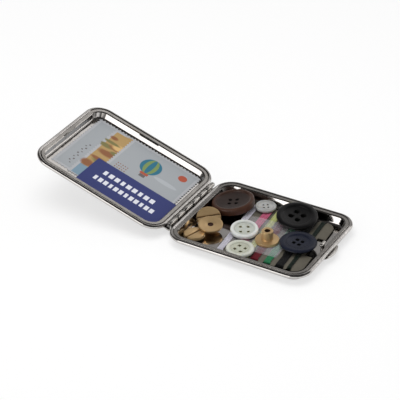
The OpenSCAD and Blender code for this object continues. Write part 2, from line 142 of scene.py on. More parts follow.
class HingeSettings(bpy.types.PropertyGroup):
    """The hinge between the halves, and the catch."""
    steel: colour("Hinge metal", (0.62, 0.60, 0.57), "Colour of the hinge and catch")
    knuckles: whole_number("Knuckles", 6, 2, "Number of knuckles")
    knuckle_r: length("Knuckle radius", 1.1, "Outside radius of a knuckle")
    knuckle_gap: length("Knuckle gap", 0.5, "Axial gap between knuckles")
    bore_r: length("Bore radius", 0.64, "Radius of the bore through the knuckles")
    web_x: length("Web place", 0.4, "From the hinge's axis to the web under a knuckle")
    web_t: length("Web thickness", 0.65, "Thickness of the web under a knuckle")
    leaf_t: length("Leaf thickness", 0.6, "Thickness of a hinge leaf")


class ButtonSettings(bpy.types.PropertyGroup):
    """The six loose buttons."""
    brown: colour("Brown", (0.026, 0.015, 0.012), "Face of the large brown button")
    brown_edge: colour("Brown edge", (0.090, 0.034, 0.017), "Edge of the large brown button")
    black: colour("Black", (0.0035, 0.0035, 0.004), "Black coat button")
    navy: colour("Navy", (0.008, 0.011, 0.025), "Navy coat button")
    # The pearly and cream buttons' sunk faces are painted darker than their rims: painted shade in the
    # recess.
    pearl: colour("Pearl", (0.50, 0.52, 0.47), "Sunk face of the pearly shirt button")
    pearl_edge: colour("Pearl edge", (0.78, 0.79, 0.78), "Rim of the pearly shirt button")
    cream: colour("Cream", (0.48, 0.49, 0.40), "Sunk face of the cream shirt button")
    cream_edge: colour("Cream edge", (0.66, 0.67, 0.60), "Rim of the cream shirt button")
    clear: colour("Clear", (0.44, 0.44, 0.43), "Small translucent button")
    steps: whole_number("Steps", 96, 24, "Segments round a button")


class BrassSettings(bpy.types.PropertyGroup):
    """The halves of binding screws."""
    brass: colour("Brass", (0.86, 0.60, 0.31), "Colour of the turned brass")
    # Painted shade: a dark brown for the insides of the slots and bores.
    stain: colour("Stain", (0.045, 0.018, 0.010), "Dark brown of the slots and bores")
    shine: portion("Shine", 0.8, "How far the tarnished brass still shines as metal")
    slot_w: length("Slot width", 0.8, "Width of a screwdriver slot")
    steps: whole_number("Steps", 96, 24, "Segments round a head")


class ThreadSettings(bpy.types.PropertyGroup):
    """The card and the threads wound on it."""
    card: colour("Card", (0.130, 0.118, 0.092), "Colour of the grey card")
    white: colour("White thread", (0.66, 0.64, 0.72), "Colour of the white thread")
    pink: colour("Pink thread", (0.62, 0.13, 0.24), "Colour of the pink thread")
    yellow: colour("Yellow thread", (0.58, 0.62, 0.24), "Colour of the yellow-green thread")
    red: colour("Red thread", (0.150, 0.004, 0.014), "Colour of the dark red thread")
    green: colour("Green thread", (0.02, 0.22, 0.09), "Colour of the green thread")
    black: colour("Black thread", (0.005, 0.005, 0.006), "Colour of the black thread")
    dark_green: colour("Dark green thread", (0.003, 0.013, 0.007), "Colour of the dark green thread")
    film: colour("Film", (0.80, 0.78, 0.84), "Colour of the clear film")
    turn: degrees("Turn", 4, "Turn of the card on the floor")
    thread_d: length("Thread", 0.26, "Thickness of one thread")
    notch_d: length("Notch", 0.9, "Depth of the notches that the threads lie in")
    lobe_r: length("Card corners", 4.5, "Corner radius of the card")
    recess_w: length("Recess width", 15, "Width of the recess in each end of the card")
    recess_d: length("Recess depth", 3.6, "Depth of the recess in each end of the card")


class PaperSettings(bpy.types.PropertyGroup):
    """The stamps and the label in the lid."""
    stamp: colour("Stamp paper", (0.36, 0.38, 0.40), "Pale grey-blue of the stamps")
    border: colour("Stamp border", (0.44, 0.45, 0.47), "Pale border of a stamp")
    teal: colour("Teal ink", (0.03, 0.16, 0.24), "Blue-green ink")
    leaf: colour("Green ink", (0.20, 0.28, 0.10), "Yellow-green ink")
    sun: colour("Orange ink", (0.42, 0.09, 0.05), "Orange-red ink")
    ink: colour("Grey ink", (0.14, 0.12, 0.12), "Dark grey ink")
    sky: colour("Sky ink", (0.20, 0.30, 0.38), "Pale blue ink")
    ochre: colour("Ochre ink", (0.44, 0.29, 0.12), "Ochre ink")
    olive: colour("Olive ink", (0.20, 0.18, 0.07), "Olive ink")
    russet: colour("Russet ink", (0.26, 0.11, 0.05), "Red-brown ink")
    label: colour("Label", (0.038, 0.048, 0.170), "Blue of the label")
    marks: colour("Marks", (0.74, 0.75, 0.82), "Plain marks on the label")
    pitch: length("Perforation pitch", 1.74, "Distance from one perforation to the next")
    hole_r: length("Perforation radius", 0.58, "Radius of one perforation")


# Modelling by hand, in code

def alone(obj):
    """Leaves only this object selected and active."""
    bpy.ops.object.select_all(action="DESELECT")
    obj.select_set(True)
    bpy.context.view_layer.objects.active = obj
    return obj


def started(name):
    """Names the primitive that was just added."""
    obj = bpy.context.object
    obj.name = obj.data.name = name
    return obj


def apply_modifier(obj, kind, **values):
    """Adds a modifier with these values and applies it."""
    alone(obj)
    mod = obj.modifiers.new(kind.lower(), kind)
    for key, value in values.items():
        setattr(mod, key, value)
    bpy.ops.object.modifier_apply(modifier=mod.name)
    return obj


def combine(obj, operation, *others):
    """Cuts the others out of the object, joins them to it or keeps what they share, and removes them."""
    for other in others:
        apply_modifier(obj, "BOOLEAN", operation=operation, solver="EXACT", object=other)
        bpy.data.objects.remove(other)
    return obj


def soft_edges(obj, width, segments=2, angle=35):
    """Rounds the edges that are sharper than the angle."""
    return apply_modifier(obj, "BEVEL", width=width * MM, segments=segments, limit_method="ANGLE",
                          angle_limit=math.radians(angle), use_clamp_overlap=True)


def smooth(obj, angle=35):
    """Smooth shading up to the angle."""
    alone(obj)
    bpy.ops.object.shade_smooth_by_angle(angle=math.radians(angle))
    return obj


def put(obj, matrix):
    """Moves an object by a matrix and writes its place into its mesh."""
    alone(obj)
    obj.matrix_world = matrix
    bpy.context.view_layer.update()
    bpy.ops.object.transform_apply(location=True, rotation=True, scale=True)
    return obj


def close_up():
    """Merges doubles and turns the faces outwards, then leaves edit mode."""
    bpy.ops.mesh.select_all(action="SELECT")
    bpy.ops.mesh.remove_doubles(threshold=0.002 * MM)
    bpy.ops.mesh.normals_make_consistent(inside=False)
    bpy.ops.object.mode_set(mode="OBJECT")


def join(obj, *others):
    """Joins others into the object."""
    alone(obj)
    for other in others:
        other.select_set(True)
    bpy.ops.object.join()
    return obj


def arc(centre, r, start, end, steps):
    """Points on an arc, from one angle in degrees to another."""
    turns = [math.radians(start + (end - start) * k / steps) for k in range(steps + 1)]
    return [(centre[0] + r * math.cos(a), centre[1] + r * math.sin(a)) for a in turns]


def lathe(name, profile, steps):
    """A turned piece about Z from (radius, height) points in millimetres."""
    bpy.ops.object.select_all(action="DESELECT")
    bpy.ops.mesh.primitive_plane_add(size=MM)
    obj = started(name)
    bpy.ops.object.mode_set(mode="EDIT")
    bpy.ops.mesh.select_all(action="SELECT")
    bpy.ops.mesh.merge(type="CENTER")
    points = [Vector((r * MM, 0, z * MM)) for r, z in profile]
    bpy.ops.transform.translate(value=points[0])
    for a, b in zip(points, points[1:]):
        bpy.ops.mesh.extrude_region_move(TRANSFORM_OT_translate={"value": b - a})
    bpy.ops.mesh.select_all(action="SELECT")
    bpy.ops.mesh.spin(steps=steps, angle=2 * math.pi, center=(0, 0, 0), axis=(0, 0, 1))
    close_up()
    return obj


def rod(name, r, start, end, sides=48):
    """A round bar between two points, in metres."""
    start, end = Vector(start), Vector(end)
    turn = (end - start).to_track_quat("Z", "Y").to_euler()
    bpy.ops.object.select_all(action="DESELECT")
    bpy.ops.mesh.primitive_cylinder_add(vertices=sides, radius=r, depth=(end - start).length,
                                        location=(start + end) / 2, rotation=turn)
    bpy.ops.object.transform_apply(location=True, rotation=True)
    return started(name)


def block(name, low, high):
    """A plain block between two corners, in metres, to be shaped or used as a cutter."""
    low, high = Vector(low), Vector(high)
    bpy.ops.object.select_all(action="DESELECT")
    bpy.ops.mesh.primitive_cube_add(size=1, location=(low + high) / 2)
    obj = started(name)
    obj.scale = high - low
    bpy.ops.object.transform_apply(location=True, scale=True)
    return obj


def round_face(name, long, wide, r, corner_steps):
    """A flat face with round corners, left selected in edit mode."""
    bpy.ops.object.select_all(action="DESELECT")
    bpy.ops.mesh.primitive_plane_add(size=1)
    obj = started(name)
    obj.scale = (long, wide, 1)
    bpy.ops.object.transform_apply(scale=True)
    bpy.ops.object.mode_set(mode="EDIT")
    bpy.ops.mesh.select_all(action="SELECT")
    bpy.ops.mesh.bevel(offset=r, segments=corner_steps, affect="VERTICES")
    return obj


def walk_in(section):
    """Steps the selected face along a section of (inwards, upwards) points in metres."""
    for a, b in zip(section, section[1:]):
        inwards, upwards = b[0] - a[0], b[1] - a[1]
        if inwards > 0.001 * MM:
            bpy.ops.mesh.inset(thickness=inwards, depth=upwards, use_boundary=True, use_even_offset=True)
        else:
            bpy.ops.mesh.extrude_region_move(TRANSFORM_OT_translate={"value": (0, 0, upwards)})


def mark_faces(obj, low, high):
    """Gives the faces whose middle lies in a box, in metres, the object's second material."""
    for face in obj.data.polygons:
        if all(a <= c <= b for a, c, b in zip(low, face.center, high)):
            face.material_index = 1


def finish_piece(obj, body, slot, *nodes):
    """Binds a finished piece to its body and hides the nodes that it stands for; the slot is not used."""
    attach(obj, body)
    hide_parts(*nodes)
    return obj


# Places, read from the frame

def seat(node):
    """Where a turned node stands: a matrix with Z along its axis and its origin at its lowest face."""
    areas = {}
    for face in frame["nodes"][node].data.polygons:
        key = tuple(round(x, 2) for x in face.normal)
        area, total = areas.get(key, (0, Vector()))
        areas[key] = (area + face.area, total + face.normal * face.area)
    up = max(areas.values(), key=lambda found: found[0])[1].normalized()
    if up.z < 0:
        up = -up
    side = (Vector((1, 0, 0)) - up * up.x).normalized()
    axes = (side, up.cross(side), up)
    points = [v.co for v in frame["nodes"][node].data.vertices]
    spans = [[p.dot(axis) for p in points] for axis in axes]
    mids = [(min(span) + max(span)) / 2 for span in spans[:2]] + [min(spans[2])]
    place = sum((axis * mid for axis, mid in zip(axes, mids)), Vector())
    return Matrix.Translation(place) @ Matrix(axes).transposed().to_4x4()


def in_lid():
    """The open lid's own frame: X towards the hinge, Z out of the tray, origin on the hinge's axis."""
    return Matrix.Translation(HINGE["pos_m"]) @ Matrix.Rotation(LID_TILT, 4, "Y")


def in_base():
    """The base's own frame from the hinge's axis."""
    return Matrix.Translation(HINGE["pos_m"])


def local_box(node, matrix):
    """A node's lowest and highest corners in a turned frame."""
    back = matrix.inverted()
    points = [back @ v.co for v in frame["nodes"][node].data.vertices]
    low = Vector(min(p[k] for p in points) for k in range(3))
    high = Vector(max(p[k] for p in points) for k in range(3))
    return low, high


def on_card():
    """The thread card's own frame, at its middle on its underside."""
    turn = Matrix.Rotation(bpy.context.scene.tin_threads.turn, 4, "Z")
    low, high = local_box("thread_card", turn)
    return turn @ Matrix.Translation(((low.x + high.x) / 2, (low.y + high.y) / 2, low.z)), high - low


# Materials

def give(tree, socket, value):
    """Links a source to an input, or sets the input's own value."""
    if isinstance(value, bpy.types.NodeSocket):
        tree.links.new(value, socket)
    elif value is not None:
        socket.default_value = value


def feed(tree, node, **values):
    """Links or sets a node's inputs by their names, with _ for a space."""
    for key, value in values.items():
        give(tree, node.inputs[key.replace("_", " ")], value)


def node_in(tree, kind, x=0, y=0, **values):
    """A shader node at a place, with its settings and inputs."""
    node = tree.nodes.new(kind)
    node.location = (x, y)
    for key, value in values.items():
        if key.replace("_", " ") in node.inputs:
            feed(tree, node, **{key: value})
        else:
            setattr(node, key, value)
    return node


def maths(tree, operation, a, b=None, x=0, y=0):
    """A Math node on sockets or numbers; returns its output socket."""
    node = node_in(tree, "ShaderNodeMath", x, y, operation=operation)
    give(tree, node.inputs[0], a)
    give(tree, node.inputs[1], b)
    return node.outputs[0]


def vector_maths(tree, operation, a, b=None, x=0, y=0):
    """A Vector Math node on sockets or vectors; returns its output socket."""
    node = node_in(tree, "ShaderNodeVectorMath", x, y, operation=operation)
    give(tree, node.inputs[0], a)
    give(tree, node.inputs[1], b)
    return node.outputs["Value" if operation in ("LENGTH", "DOT_PRODUCT") else "Vector"]


def remap(tree, value, low, high, to_low, to_high, x=0, y=0):
    """Maps a value from one range to another; returns the result's socket."""
    node = node_in(tree, "ShaderNodeMapRange", x, y, Value=value, From_Min=low, From_Max=high,
                   To_Min=to_low, To_Max=to_high)
    return node.outputs["Result"]


def mix_colour(tree, mask, a, b, x=0, y=0):
    """Mixes two colours, or sockets, by a mask; returns the result's socket."""
    node = node_in(tree, "ShaderNodeMix", x, y, data_type="RGBA")
    for index, value in ((6, a), (7, b)):
        is_socket = isinstance(value, bpy.types.NodeSocket)
        give(tree, node.inputs[index], value if is_socket else (*value, 1))
    give(tree, node.inputs[0], mask)
    return node.outputs[2]


def new_group(name, inputs, outputs):
    """A new shader node group with named sockets; returns its tree, input and output nodes."""
    tree = bpy.data.node_groups.new(name, "ShaderNodeTree")
    for label, kind, default in inputs:
        socket = tree.interface.new_socket(name=label, in_out="INPUT", socket_type=kind)
        if default is not None:
            socket.default_value = default
    for label in outputs:
        tree.interface.new_socket(name=label, in_out="OUTPUT", socket_type="NodeSocketFloat")
    return tree, node_in(tree, "NodeGroupInput", -900), node_in(tree, "NodeGroupOutput", 500)


def rubbed_group():
    """Handling marks: soft smudges, a fine grain and hairline scratches."""
    tree, given, out = new_group(
        "Rubbed",
        [("Vector", "NodeSocketVector", None), ("Scale", "NodeSocketFloat", 60.0),
         ("Scratches", "NodeSocketFloat", 0.5)],
        ["Smudge", "Grain", "Height"])
    vector, scale = given.outputs["Vector"], given.outputs["Scale"]
    smudge = node_in(tree, "ShaderNodeTexNoise", -600, 200, Vector=vector, Scale=scale, Detail=3.0,
                     Roughness=0.55)
    fine_scale = maths(tree, "MULTIPLY", scale, 12, -760, -60)
    grain = node_in(tree, "ShaderNodeTexNoise", -600, -60, Vector=vector, Scale=fine_scale, Detail=4.0,
                    Roughness=0.7)
    stretch = node_in(tree, "ShaderNodeMapping", -760, -320, Vector=vector, Scale=(1, 16, 1),
                      Rotation=(0, 0, 0.5))
    hair = node_in(tree, "ShaderNodeTexNoise", -600, -320, Vector=stretch.outputs["Vector"],
                   Scale=fine_scale, Detail=2.0, Roughness=0.6)
    lines = remap(tree, hair.outputs["Fac"], 0.62, 0.72, 0, 1, -400, -320)
    faint = maths(tree, "MULTIPLY", lines, given.outputs["Scratches"], -220, -320)
    feed(tree, out, Smudge=smudge.outputs["Fac"], Grain=grain.outputs["Fac"],
         Height=maths(tree, "SUBTRACT", grain.outputs["Fac"], faint, 0, -200))
    return tree


def spot_group():
    """A soft-edged ellipse on a flat position: 1 inside, 0 outside."""
    tree, given, out = new_group(
        "Spot",
        [("Vector", "NodeSocketVector", None), ("Centre", "NodeSocketVector", None),
         ("Radii", "NodeSocketVector", (1, 1, 1)), ("Softness", "NodeSocketFloat", 0.05)],
        ["Mask"])
    away = vector_maths(tree, "SUBTRACT", given.outputs["Vector"], given.outputs["Centre"], -700)
    scaled = vector_maths(tree, "DIVIDE", away, given.outputs["Radii"], -520)
    flat = vector_maths(tree, "MULTIPLY", scaled, (1, 1, 0), -340)
    far = vector_maths(tree, "LENGTH", flat, None, -180)
    outer = maths(tree, "ADD", given.outputs["Softness"], 1, -180, -180)
    feed(tree, out, Mask=remap(tree, far, 1, outer, 1, 0, 40))
    return tree


def bar_group():
    """A sharp-edged rectangle on a flat position: 1 inside, 0 outside."""
    tree, given, out = new_group(
        "Bar",
        [("Vector", "NodeSocketVector", None), ("Centre", "NodeSocketVector", None),
         ("Half size", "NodeSocketVector", (1, 1, 1))],
        ["Mask"])
    away = vector_maths(tree, "SUBTRACT", given.outputs["Vector"], given.outputs["Centre"], -700)
    size = vector_maths(tree, "ABSOLUTE", away, None, -540)
    left = vector_maths(tree, "SUBTRACT", given.outputs["Half size"], size, -380)
    parts = node_in(tree, "ShaderNodeSeparateXYZ", -220, 0, Vector=left)
    least = maths(tree, "MINIMUM", parts.outputs["X"], parts.outputs["Y"], -60, 0)
    feed(tree, out, Mask=maths(tree, "GREATER_THAN", least, 0, 120, 0))
    return tree


MAKERS = {"Rubbed": rubbed_group, "Spot": spot_group, "Bar": bar_group}


def use_group(tree, name, vector, x=0, y=0, **values):
    """Places a shared group in a material; returns its node."""
    made = bpy.data.node_groups.get(name) or MAKERS[name]()
    return node_in(tree, "ShaderNodeGroup", x, y, node_tree=made, Vector=vector, **values)


def new_material(name):
    """An empty material; returns it, its tree and its Principled shader."""
    made = bpy.data.materials.new(name)
    made.use_nodes = True
    tree = made.node_tree
    shader = next(n for n in tree.nodes if n.type == "BSDF_PRINCIPLED")
    shader.location = (500, 0)
    return made, tree, shader


def bump(tree, shader, height, strength, distance):
    """Bumps the shader's normal by a height."""
    node = node_in(tree, "ShaderNodeBump", 300, -300, Strength=strength, Distance=distance, Height=height)
    feed(tree, shader, Normal=node.outputs["Normal"])


def place_on(tree, matrix=None):
    """The position on the piece in millimetres, in a turned frame if one is given."""
    place = node_in(tree, "ShaderNodeTexCoord", -1500).outputs["Object"]
    if matrix:
        turned = node_in(tree, "ShaderNodeMapping", -1300, vector_type="TEXTURE", Vector=place,
                         Location=matrix.translation, Rotation=matrix.to_euler())
        place = turned.outputs["Vector"]
    scaled = node_in(tree, "ShaderNodeVectorMath", -1100, operation="SCALE", Vector=place, Scale=1 / MM)
    return scaled.outputs[0]


def tinted(rgb, factor):
    """A colour made darker or lighter."""
    return tuple(min(1.0, c * factor) for c in rgb)


def clouded(tree, rubbed, rgb, other, low=0.3, high=0.7, by="Smudge"):
    """A colour that turns into another where the rubbed group's smudges or grain lie."""
    mask = remap(tree, rubbed.outputs[by], low, high, 0, 1, -450, 200)
    return mix_colour(tree, mask, rgb, other, -200, 200)


def metal(name, rgb, low_rough, high_rough, ripple=0.0, scratches=0.4, smudge_scale=0.09, dark=0.8,
          grain=0.01, shine=1.0):
    """Plated or turned metal with smudges, grain and, where it is drawn thin, ripples."""
    made, tree, shader = new_material(name)
    place = place_on(tree)
    rubbed = use_group(tree, "Rubbed", place, -700, 0, Scale=smudge_scale, Scratches=scratches)
    rough = remap(tree, rubbed.outputs["Smudge"], 0.3, 0.75, low_rough, high_rough, -450, -50)
    feed(tree, shader, Base_Color=clouded(tree, rubbed, rgb, tinted(rgb, dark), 0.35), Roughness=rough,
         Metallic=shine)
    wave = node_in(tree, "ShaderNodeTexNoise", -700, -400, Vector=place, Scale=0.17, Detail=1.0)
    swell = maths(tree, "MULTIPLY", wave.outputs["Fac"], ripple, -450, -400)
    fine = maths(tree, "MULTIPLY", rubbed.outputs["Height"], grain, -450, -560)
    bump(tree, shader, maths(tree, "ADD", swell, fine, -250, -450), 0.6, 0.3 * MM)
    return made


def plain_dark(name, rgb, rough=0.6):
    """Painted shade for slots and holes: a dark colour, a little mottled."""
    made, tree, shader = new_material(name)
    rubbed = use_group(tree, "Rubbed", place_on(tree), -700, 0, Scale=0.8, Scratches=0.0)
    feed(tree, shader, Base_Color=clouded(tree, rubbed, rgb, tinted(rgb, 0.6)), Roughness=rough)
    return made


def dress(obj, *materials):
    """Gives an object these materials and no others."""
    marked = [face.material_index for face in obj.data.polygons]
    obj.data.materials.clear()
    for made in materials:
        obj.data.materials.append(made)
    if len(materials) > 1:
        obj.data.polygons.foreach_set("material_index", marked)
    return obj


# The case

def tray_place(shell, own):
    """One half's middle at its rolled rim's height, its outer size and its depth, from its shell."""
    bead = bpy.context.scene.tin_case.bead_r
    low, high = local_box(shell, own)
    middle = Vector(((low.x + high.x) / 2, (low.y + high.y) / 2, high.z - bead))
    return own @ Matrix.Translation(middle), high.x - low.x, high.y - low.y, middle.z - low.z


def wall_section(top, foot, height, sheet, lean):
    """Points down a leaning wall and round its bend to the floor, as (inwards, above the floor).

    The points lie on the inner skin, or a sheet's thickness outside it.
    """
    slope = math.tan(lean)
    bend = (foot - top - height / slope) / (math.sin(lean) - (1 - math.cos(lean)) / slope)
    centre = (foot, bend)
    round_part = [(centre[0] - x, centre[1] + z)
                  for x, z in arc((0, 0), bend + sheet, math.degrees(lean) - 90, -90, 8)]
    start, up = round_part[0], height - sheet
    return [(start[0] - (up - start[1]) / slope, up)] + round_part


def make_shell(name, node, own, sheet, top, foot):
    """A drawn tray with its rolled rim, as a skin over and a skin under that meet at the rim."""
    case = bpy.context.scene.tin_case
    place, long, wide, depth = tray_place(node, own)
    bead, flange = case.bead_r, case.lip_top - case.frame_t
    floor_z = sheet - depth
    skins = []
    for thick, side in ((0, 1), (sheet, -1)):
        section = [(bead - out, up) for out, up in
                   arc((0, 0), bead, 0, side * (180 - side * over_angle(flange - thick)), 18)]
        section += [(bead_inset(x), z + floor_z)
                    for x, z in wall_section(top, foot, flange - floor_z, thick, case.lean)]
        section.append((section[-1][0] + 0.4 * MM, section[-1][1]))
        skins.append(round_face(name, long, wide, case.corner_r + bead, case.corner_steps))
        walk_in(section)
        bpy.ops.object.mode_set(mode="OBJECT")
    obj = join(*skins)
    bpy.ops.object.mode_set(mode="EDIT")
    close_up()
    return obj, place


def bead_inset(from_line):
    """A distance in from the rolled rim's centre line, as one from its outer edge."""
    return from_line + bpy.context.scene.tin_case.bead_r


def over_angle(height):
    """The angle above level at which the rolled rim's surface has this height."""
    return math.degrees(math.asin(height / bpy.context.scene.tin_case.bead_r))


def make_lip(name, node):
    """The flat frame inside the rolled rim, its inner edge rounded."""
    case = bpy.context.scene.tin_case
    own, shell = (in_base(), "base_shell") if node.startswith("base") else (in_lid(), "lid_shell")
    place, long, wide, _ = tray_place(shell, own)
    outer = bead_inset(case.groove_inset)
    inner = bead_inset(case.lip_inset)
    low, high, soft = case.lip_top - case.frame_t, case.lip_top, 0.22 * MM
    section = [(0, low), (0.01 * MM, high - soft / 2), (soft / 4, high - soft / 6), (soft / 2, high)]
    section += [(inner - outer - soft - x, high - soft + z)
                for x, z in arc((0, 0), -soft, -90, -180, 5)]
    section += [(inner - outer, low)]
    obj = round_face(name, long - 2 * outer, wide - 2 * outer, case.corner_r + case.bead_r - outer,
                     case.corner_steps)
    bpy.ops.transform.translate(value=(0, 0, low))
    walk_in(section)
    bpy.ops.mesh.delete(type="ONLY_FACE")
    bpy.ops.mesh.select_all(action="DESELECT")
    bpy.ops.mesh.select_non_manifold()
    bpy.ops.mesh.bridge_edge_loops()
    close_up()
    return obj, place


class TIN_OT_case(bpy.types.Operator):
    """Models both drawn trays with their rolled rims, and the lips that lie on them"""
    bl_idname = "tin.case"
    bl_label = "Case"

    def execute(self, context):
        case = context.scene.tin_case
        plate = metal("polished_nickel", case.nickel, 0.08, 0.17, ripple=0.6, scratches=0.2, grain=0.004)
        lip_plate = metal("rubbed_nickel", case.lip_nickel, 0.2, 0.3, ripple=0.1, scratches=0.3, grain=0.005)
        shade = plain_dark("slit_shade", (0.004, 0.004, 0.004))
        base, place = make_shell("nickel_base", "base_shell", in_base(), case.base_sheet,
                                 case.base_wall, case.base_foot)
        self.cut_catch_slot(base, place)
        lid, lid_place = make_shell("nickel_lid", "lid_shell", in_lid(), case.lid_sheet,
                                    case.lid_wall, case.lid_foot)
        _, _, width, _ = tray_place("lid_shell", in_lid())
        self.cut_slit(lid, case, width / 2 - case.bead_r)
        self.finish(base, place, "base", "base_shell", plate)
        self.finish(lid, lid_place, "lid", "lid_shell", plate, shade)
        for body in ("base", "lid"):
            lip, lip_place = make_lip(body + "_lip", body + "_rim_frame")
            if body == "lid":
                self.add_tongue(lip, case)
            self.finish(lip, lip_place, body, body + "_rim_frame", lip_plate)
        return {"FINISHED"}

    @staticmethod
    def cut_catch_slot(base, place):
        """Cuts the slot in the base's end wall that the catch's strip runs through."""
        low, high = local_box("catch_hook_strip", place)
        slack = 0.1 * MM
        strip_t = 0.45 * MM
        shoulder = 1.2 * MM
        inner_end, outer_end = high.x - 6 * MM, high.x - 3 * MM
        slot = block("slot", (inner_end, low.y + shoulder - slack, low.z - slack),
                     (outer_end, high.y - shoulder + slack, low.z + strip_t + slack))
        combine(base, "DIFFERENCE", slot)

    @staticmethod
    def cut_slit(lid, case, bead_y):
        """Cuts a blind slit in the lid's far wall, square to the wall's slope, its faces dark with painted
        shade.
        """
        tall = case.lip_top - case.frame_t - case.slit_z
        inset = case.lid_wall + tall / math.tan(case.lean)
        turn = Matrix.Rotation(case.lean - math.pi / 2, 4, "X")
        at = Matrix.Translation((case.slit_x, bead_y - inset, case.slit_z)) @ turn
        low = Vector((-case.slit_l / 2, -MM, -case.slit_h / 2))
        high = Vector((case.slit_l / 2, case.lid_sheet * 0.7, case.slit_h / 2))
        cutter = put(block("slit", low, high), at)
        combine(lid, "DIFFERENCE", cutter)
        lid.data.transform(at.inverted())
        edge = Vector((0.02, 0.02, 0.02)) * MM
        # The slit's faces take the painted shade.
        mark_faces(lid, (low.x - edge.x, edge.y, low.z - edge.z), high + edge)
        lid.data.transform(at)

    @staticmethod
    def add_tongue(lip, case):
        """A tongue on the lip's free end, for the hook to hold."""
        edge = -tray_place("lid_shell", in_lid())[1] / 2 + case.bead_r + case.lip_inset
        low = case.lip_top - case.frame_t
        tongue = block("tongue", (edge - 0.6 * MM, -case.tongue_w / 2, low),
                       (edge + case.tongue_reach, case.tongue_w / 2, case.lip_top - 0.02 * MM))
        soft_edges(tongue, 0.12, 3)
        combine(lip, "UNION", tongue)

    @staticmethod
    def finish(obj, place, body, node, *materials):
        smooth(obj, 30)
        put(obj, place)
        dress(obj, *materials)
        finish_piece(obj, body, "nickel", node)


# The hinge and the catch

def make_leaf(name, node, own, first, hinge):
    """A strip under the rolled rim with every other knuckle on it."""
    low, high = local_box(node, own)
    length_y = high.y - low.y
    pitch = length_y / hinge.knuckles
    flip = -1 if high.x < -low.x else 1
    web_gap, web_top = 0.1 * MM, -0.2 * MM
    bars = []
    for k in range(first, hinge.knuckles, 2):
        start = low.y + k * pitch + hinge.knuckle_gap / 2
        end = start + pitch - hinge.knuckle_gap
        knuckle = rod("knuckle", hinge.knuckle_r, (0, start, 0), (0, end, 0))
        soft_edges(knuckle, 0.14, 3)
        web = block("web", (hinge.web_x, start + web_gap, low.z + hinge.leaf_t / 2),
                    (hinge.web_x + hinge.web_t, end - web_gap, web_top))
        if flip < 0:
            web = put(web, Matrix.Scale(-1, 4, (1, 0, 0)))
        bars += [knuckle, web]
    far = max(abs(low.x), abs(high.x))
    heel = low.x if flip > 0 else high.x
    edges = sorted((heel, flip * far))
    strip = block(name, (edges[0], low.y, low.z), (edges[1], high.y, low.z + hinge.leaf_t))
    soft_edges(strip, 0.08)
    combine(strip, "UNION", *bars)
    bore = rod("bore", hinge.bore_r, (0, low.y - MM, 0), (0, high.y + MM, 0))
    return smooth(combine(strip, "DIFFERENCE", bore))


class TIN_OT_hinge(bpy.types.Operator):
    """Models the hinge's two leaves with their knuckles, and its pin"""
    bl_idname = "tin.hinge"
    bl_label = "Hinge"

    def execute(self, context):
        hinge = context.scene.tin_hinge
        steel = metal("hinge_nickel", hinge.steel, 0.14, 0.24, ripple=0.05, scratches=0.1, smudge_scale=0.3,
                      grain=0.002)
        for body, own, first in (("base", in_base(), 0), ("lid", in_lid(), 1)):
            leaf = make_leaf(body + "_leaf", body + "_hinge_leaf", own, first, hinge)
            put(leaf, own)
            dress(leaf, steel)
            finish_piece(leaf, body, "steel", body + "_hinge_leaf")
        pin_r, head_r, head_t = 0.6, 0.95, 0.4
        half = local_box("hinge_pin", in_base())[1].y / MM
        pin = lathe("hinge_rod", [
            (0, -half), (pin_r, -half), (head_r, head_t - half), (pin_r, head_t - half),
            (pin_r, half - head_t), (head_r, half - head_t), (pin_r, half), (0, half)], 40)
        soft_edges(pin, 0.12)
        put(smooth(pin), in_base() @ Matrix.Rotation(math.pi / 2, 4, "X"))
        dress(pin, metal("pin_steel", tinted(hinge.steel, 0.3), 0.3, 0.5))
        finish_piece(pin, "base", "steel", "hinge_pin")
        return {"FINISHED"}


class TIN_OT_catch(bpy.types.Operator):
    """Models the catch: its strip and hook, the thumb tab, the rivets and the bowed spring"""
    bl_idname = "tin.catch"
    bl_label = "Catch"

    def execute(self, context):
        steel = bpy.data.materials["hinge_nickel"]
        for node, body in (("catch_hook_strip", "catch"), ("catch_thumb_tab", "catch"),
                           ("catch_rivets", "catch"), ("catch_spring", "base")):
            piece = self.softened(node)
            dress(piece, steel)
            finish_piece(piece, body, "steel", node)
            if node == "catch_spring":
                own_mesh(piece)
        return {"FINISHED"}

    @staticmethod
    def softened(node):
        """A merged copy of a node with its sharp edges rounded."""
        alone(frame["nodes"][node])
        bpy.ops.object.duplicate()
        piece = started(node.replace("catch_", "") + "_rounded")
        piece.parent = None
        bpy.ops.object.mode_set(mode="EDIT")
        bpy.ops.mesh.select_all(action="SELECT")
        bpy.ops.mesh.remove_doubles(threshold=0.002 * MM)
        bpy.ops.mesh.dissolve_limited(angle_limit=math.radians(1))
        bpy.ops.object.mode_set(mode="OBJECT")
        soft_edges(piece, 0.2 if node == "catch_thumb_tab" else 0.12, 3, 40)
        return smooth(piece, 40)


# The card and its threads

def paper_like(name, rgb, rough, mottle=0.15):
    """Card or paper: a faintly mottled colour with fibre grain."""
    made, tree, shader = new_material(name)
    place = place_on(tree)
    rubbed = use_group(tree, "Rubbed", place, -700, 0, Scale=0.3, Scratches=0.2)
    feed(tree, shader, Base_Color=clouded(tree, rubbed, rgb, tinted(rgb, 1 - mottle)), Roughness=rough)
    bump(tree, shader, rubbed.outputs["Grain"], 0.3, 0.05 * MM)
    return made


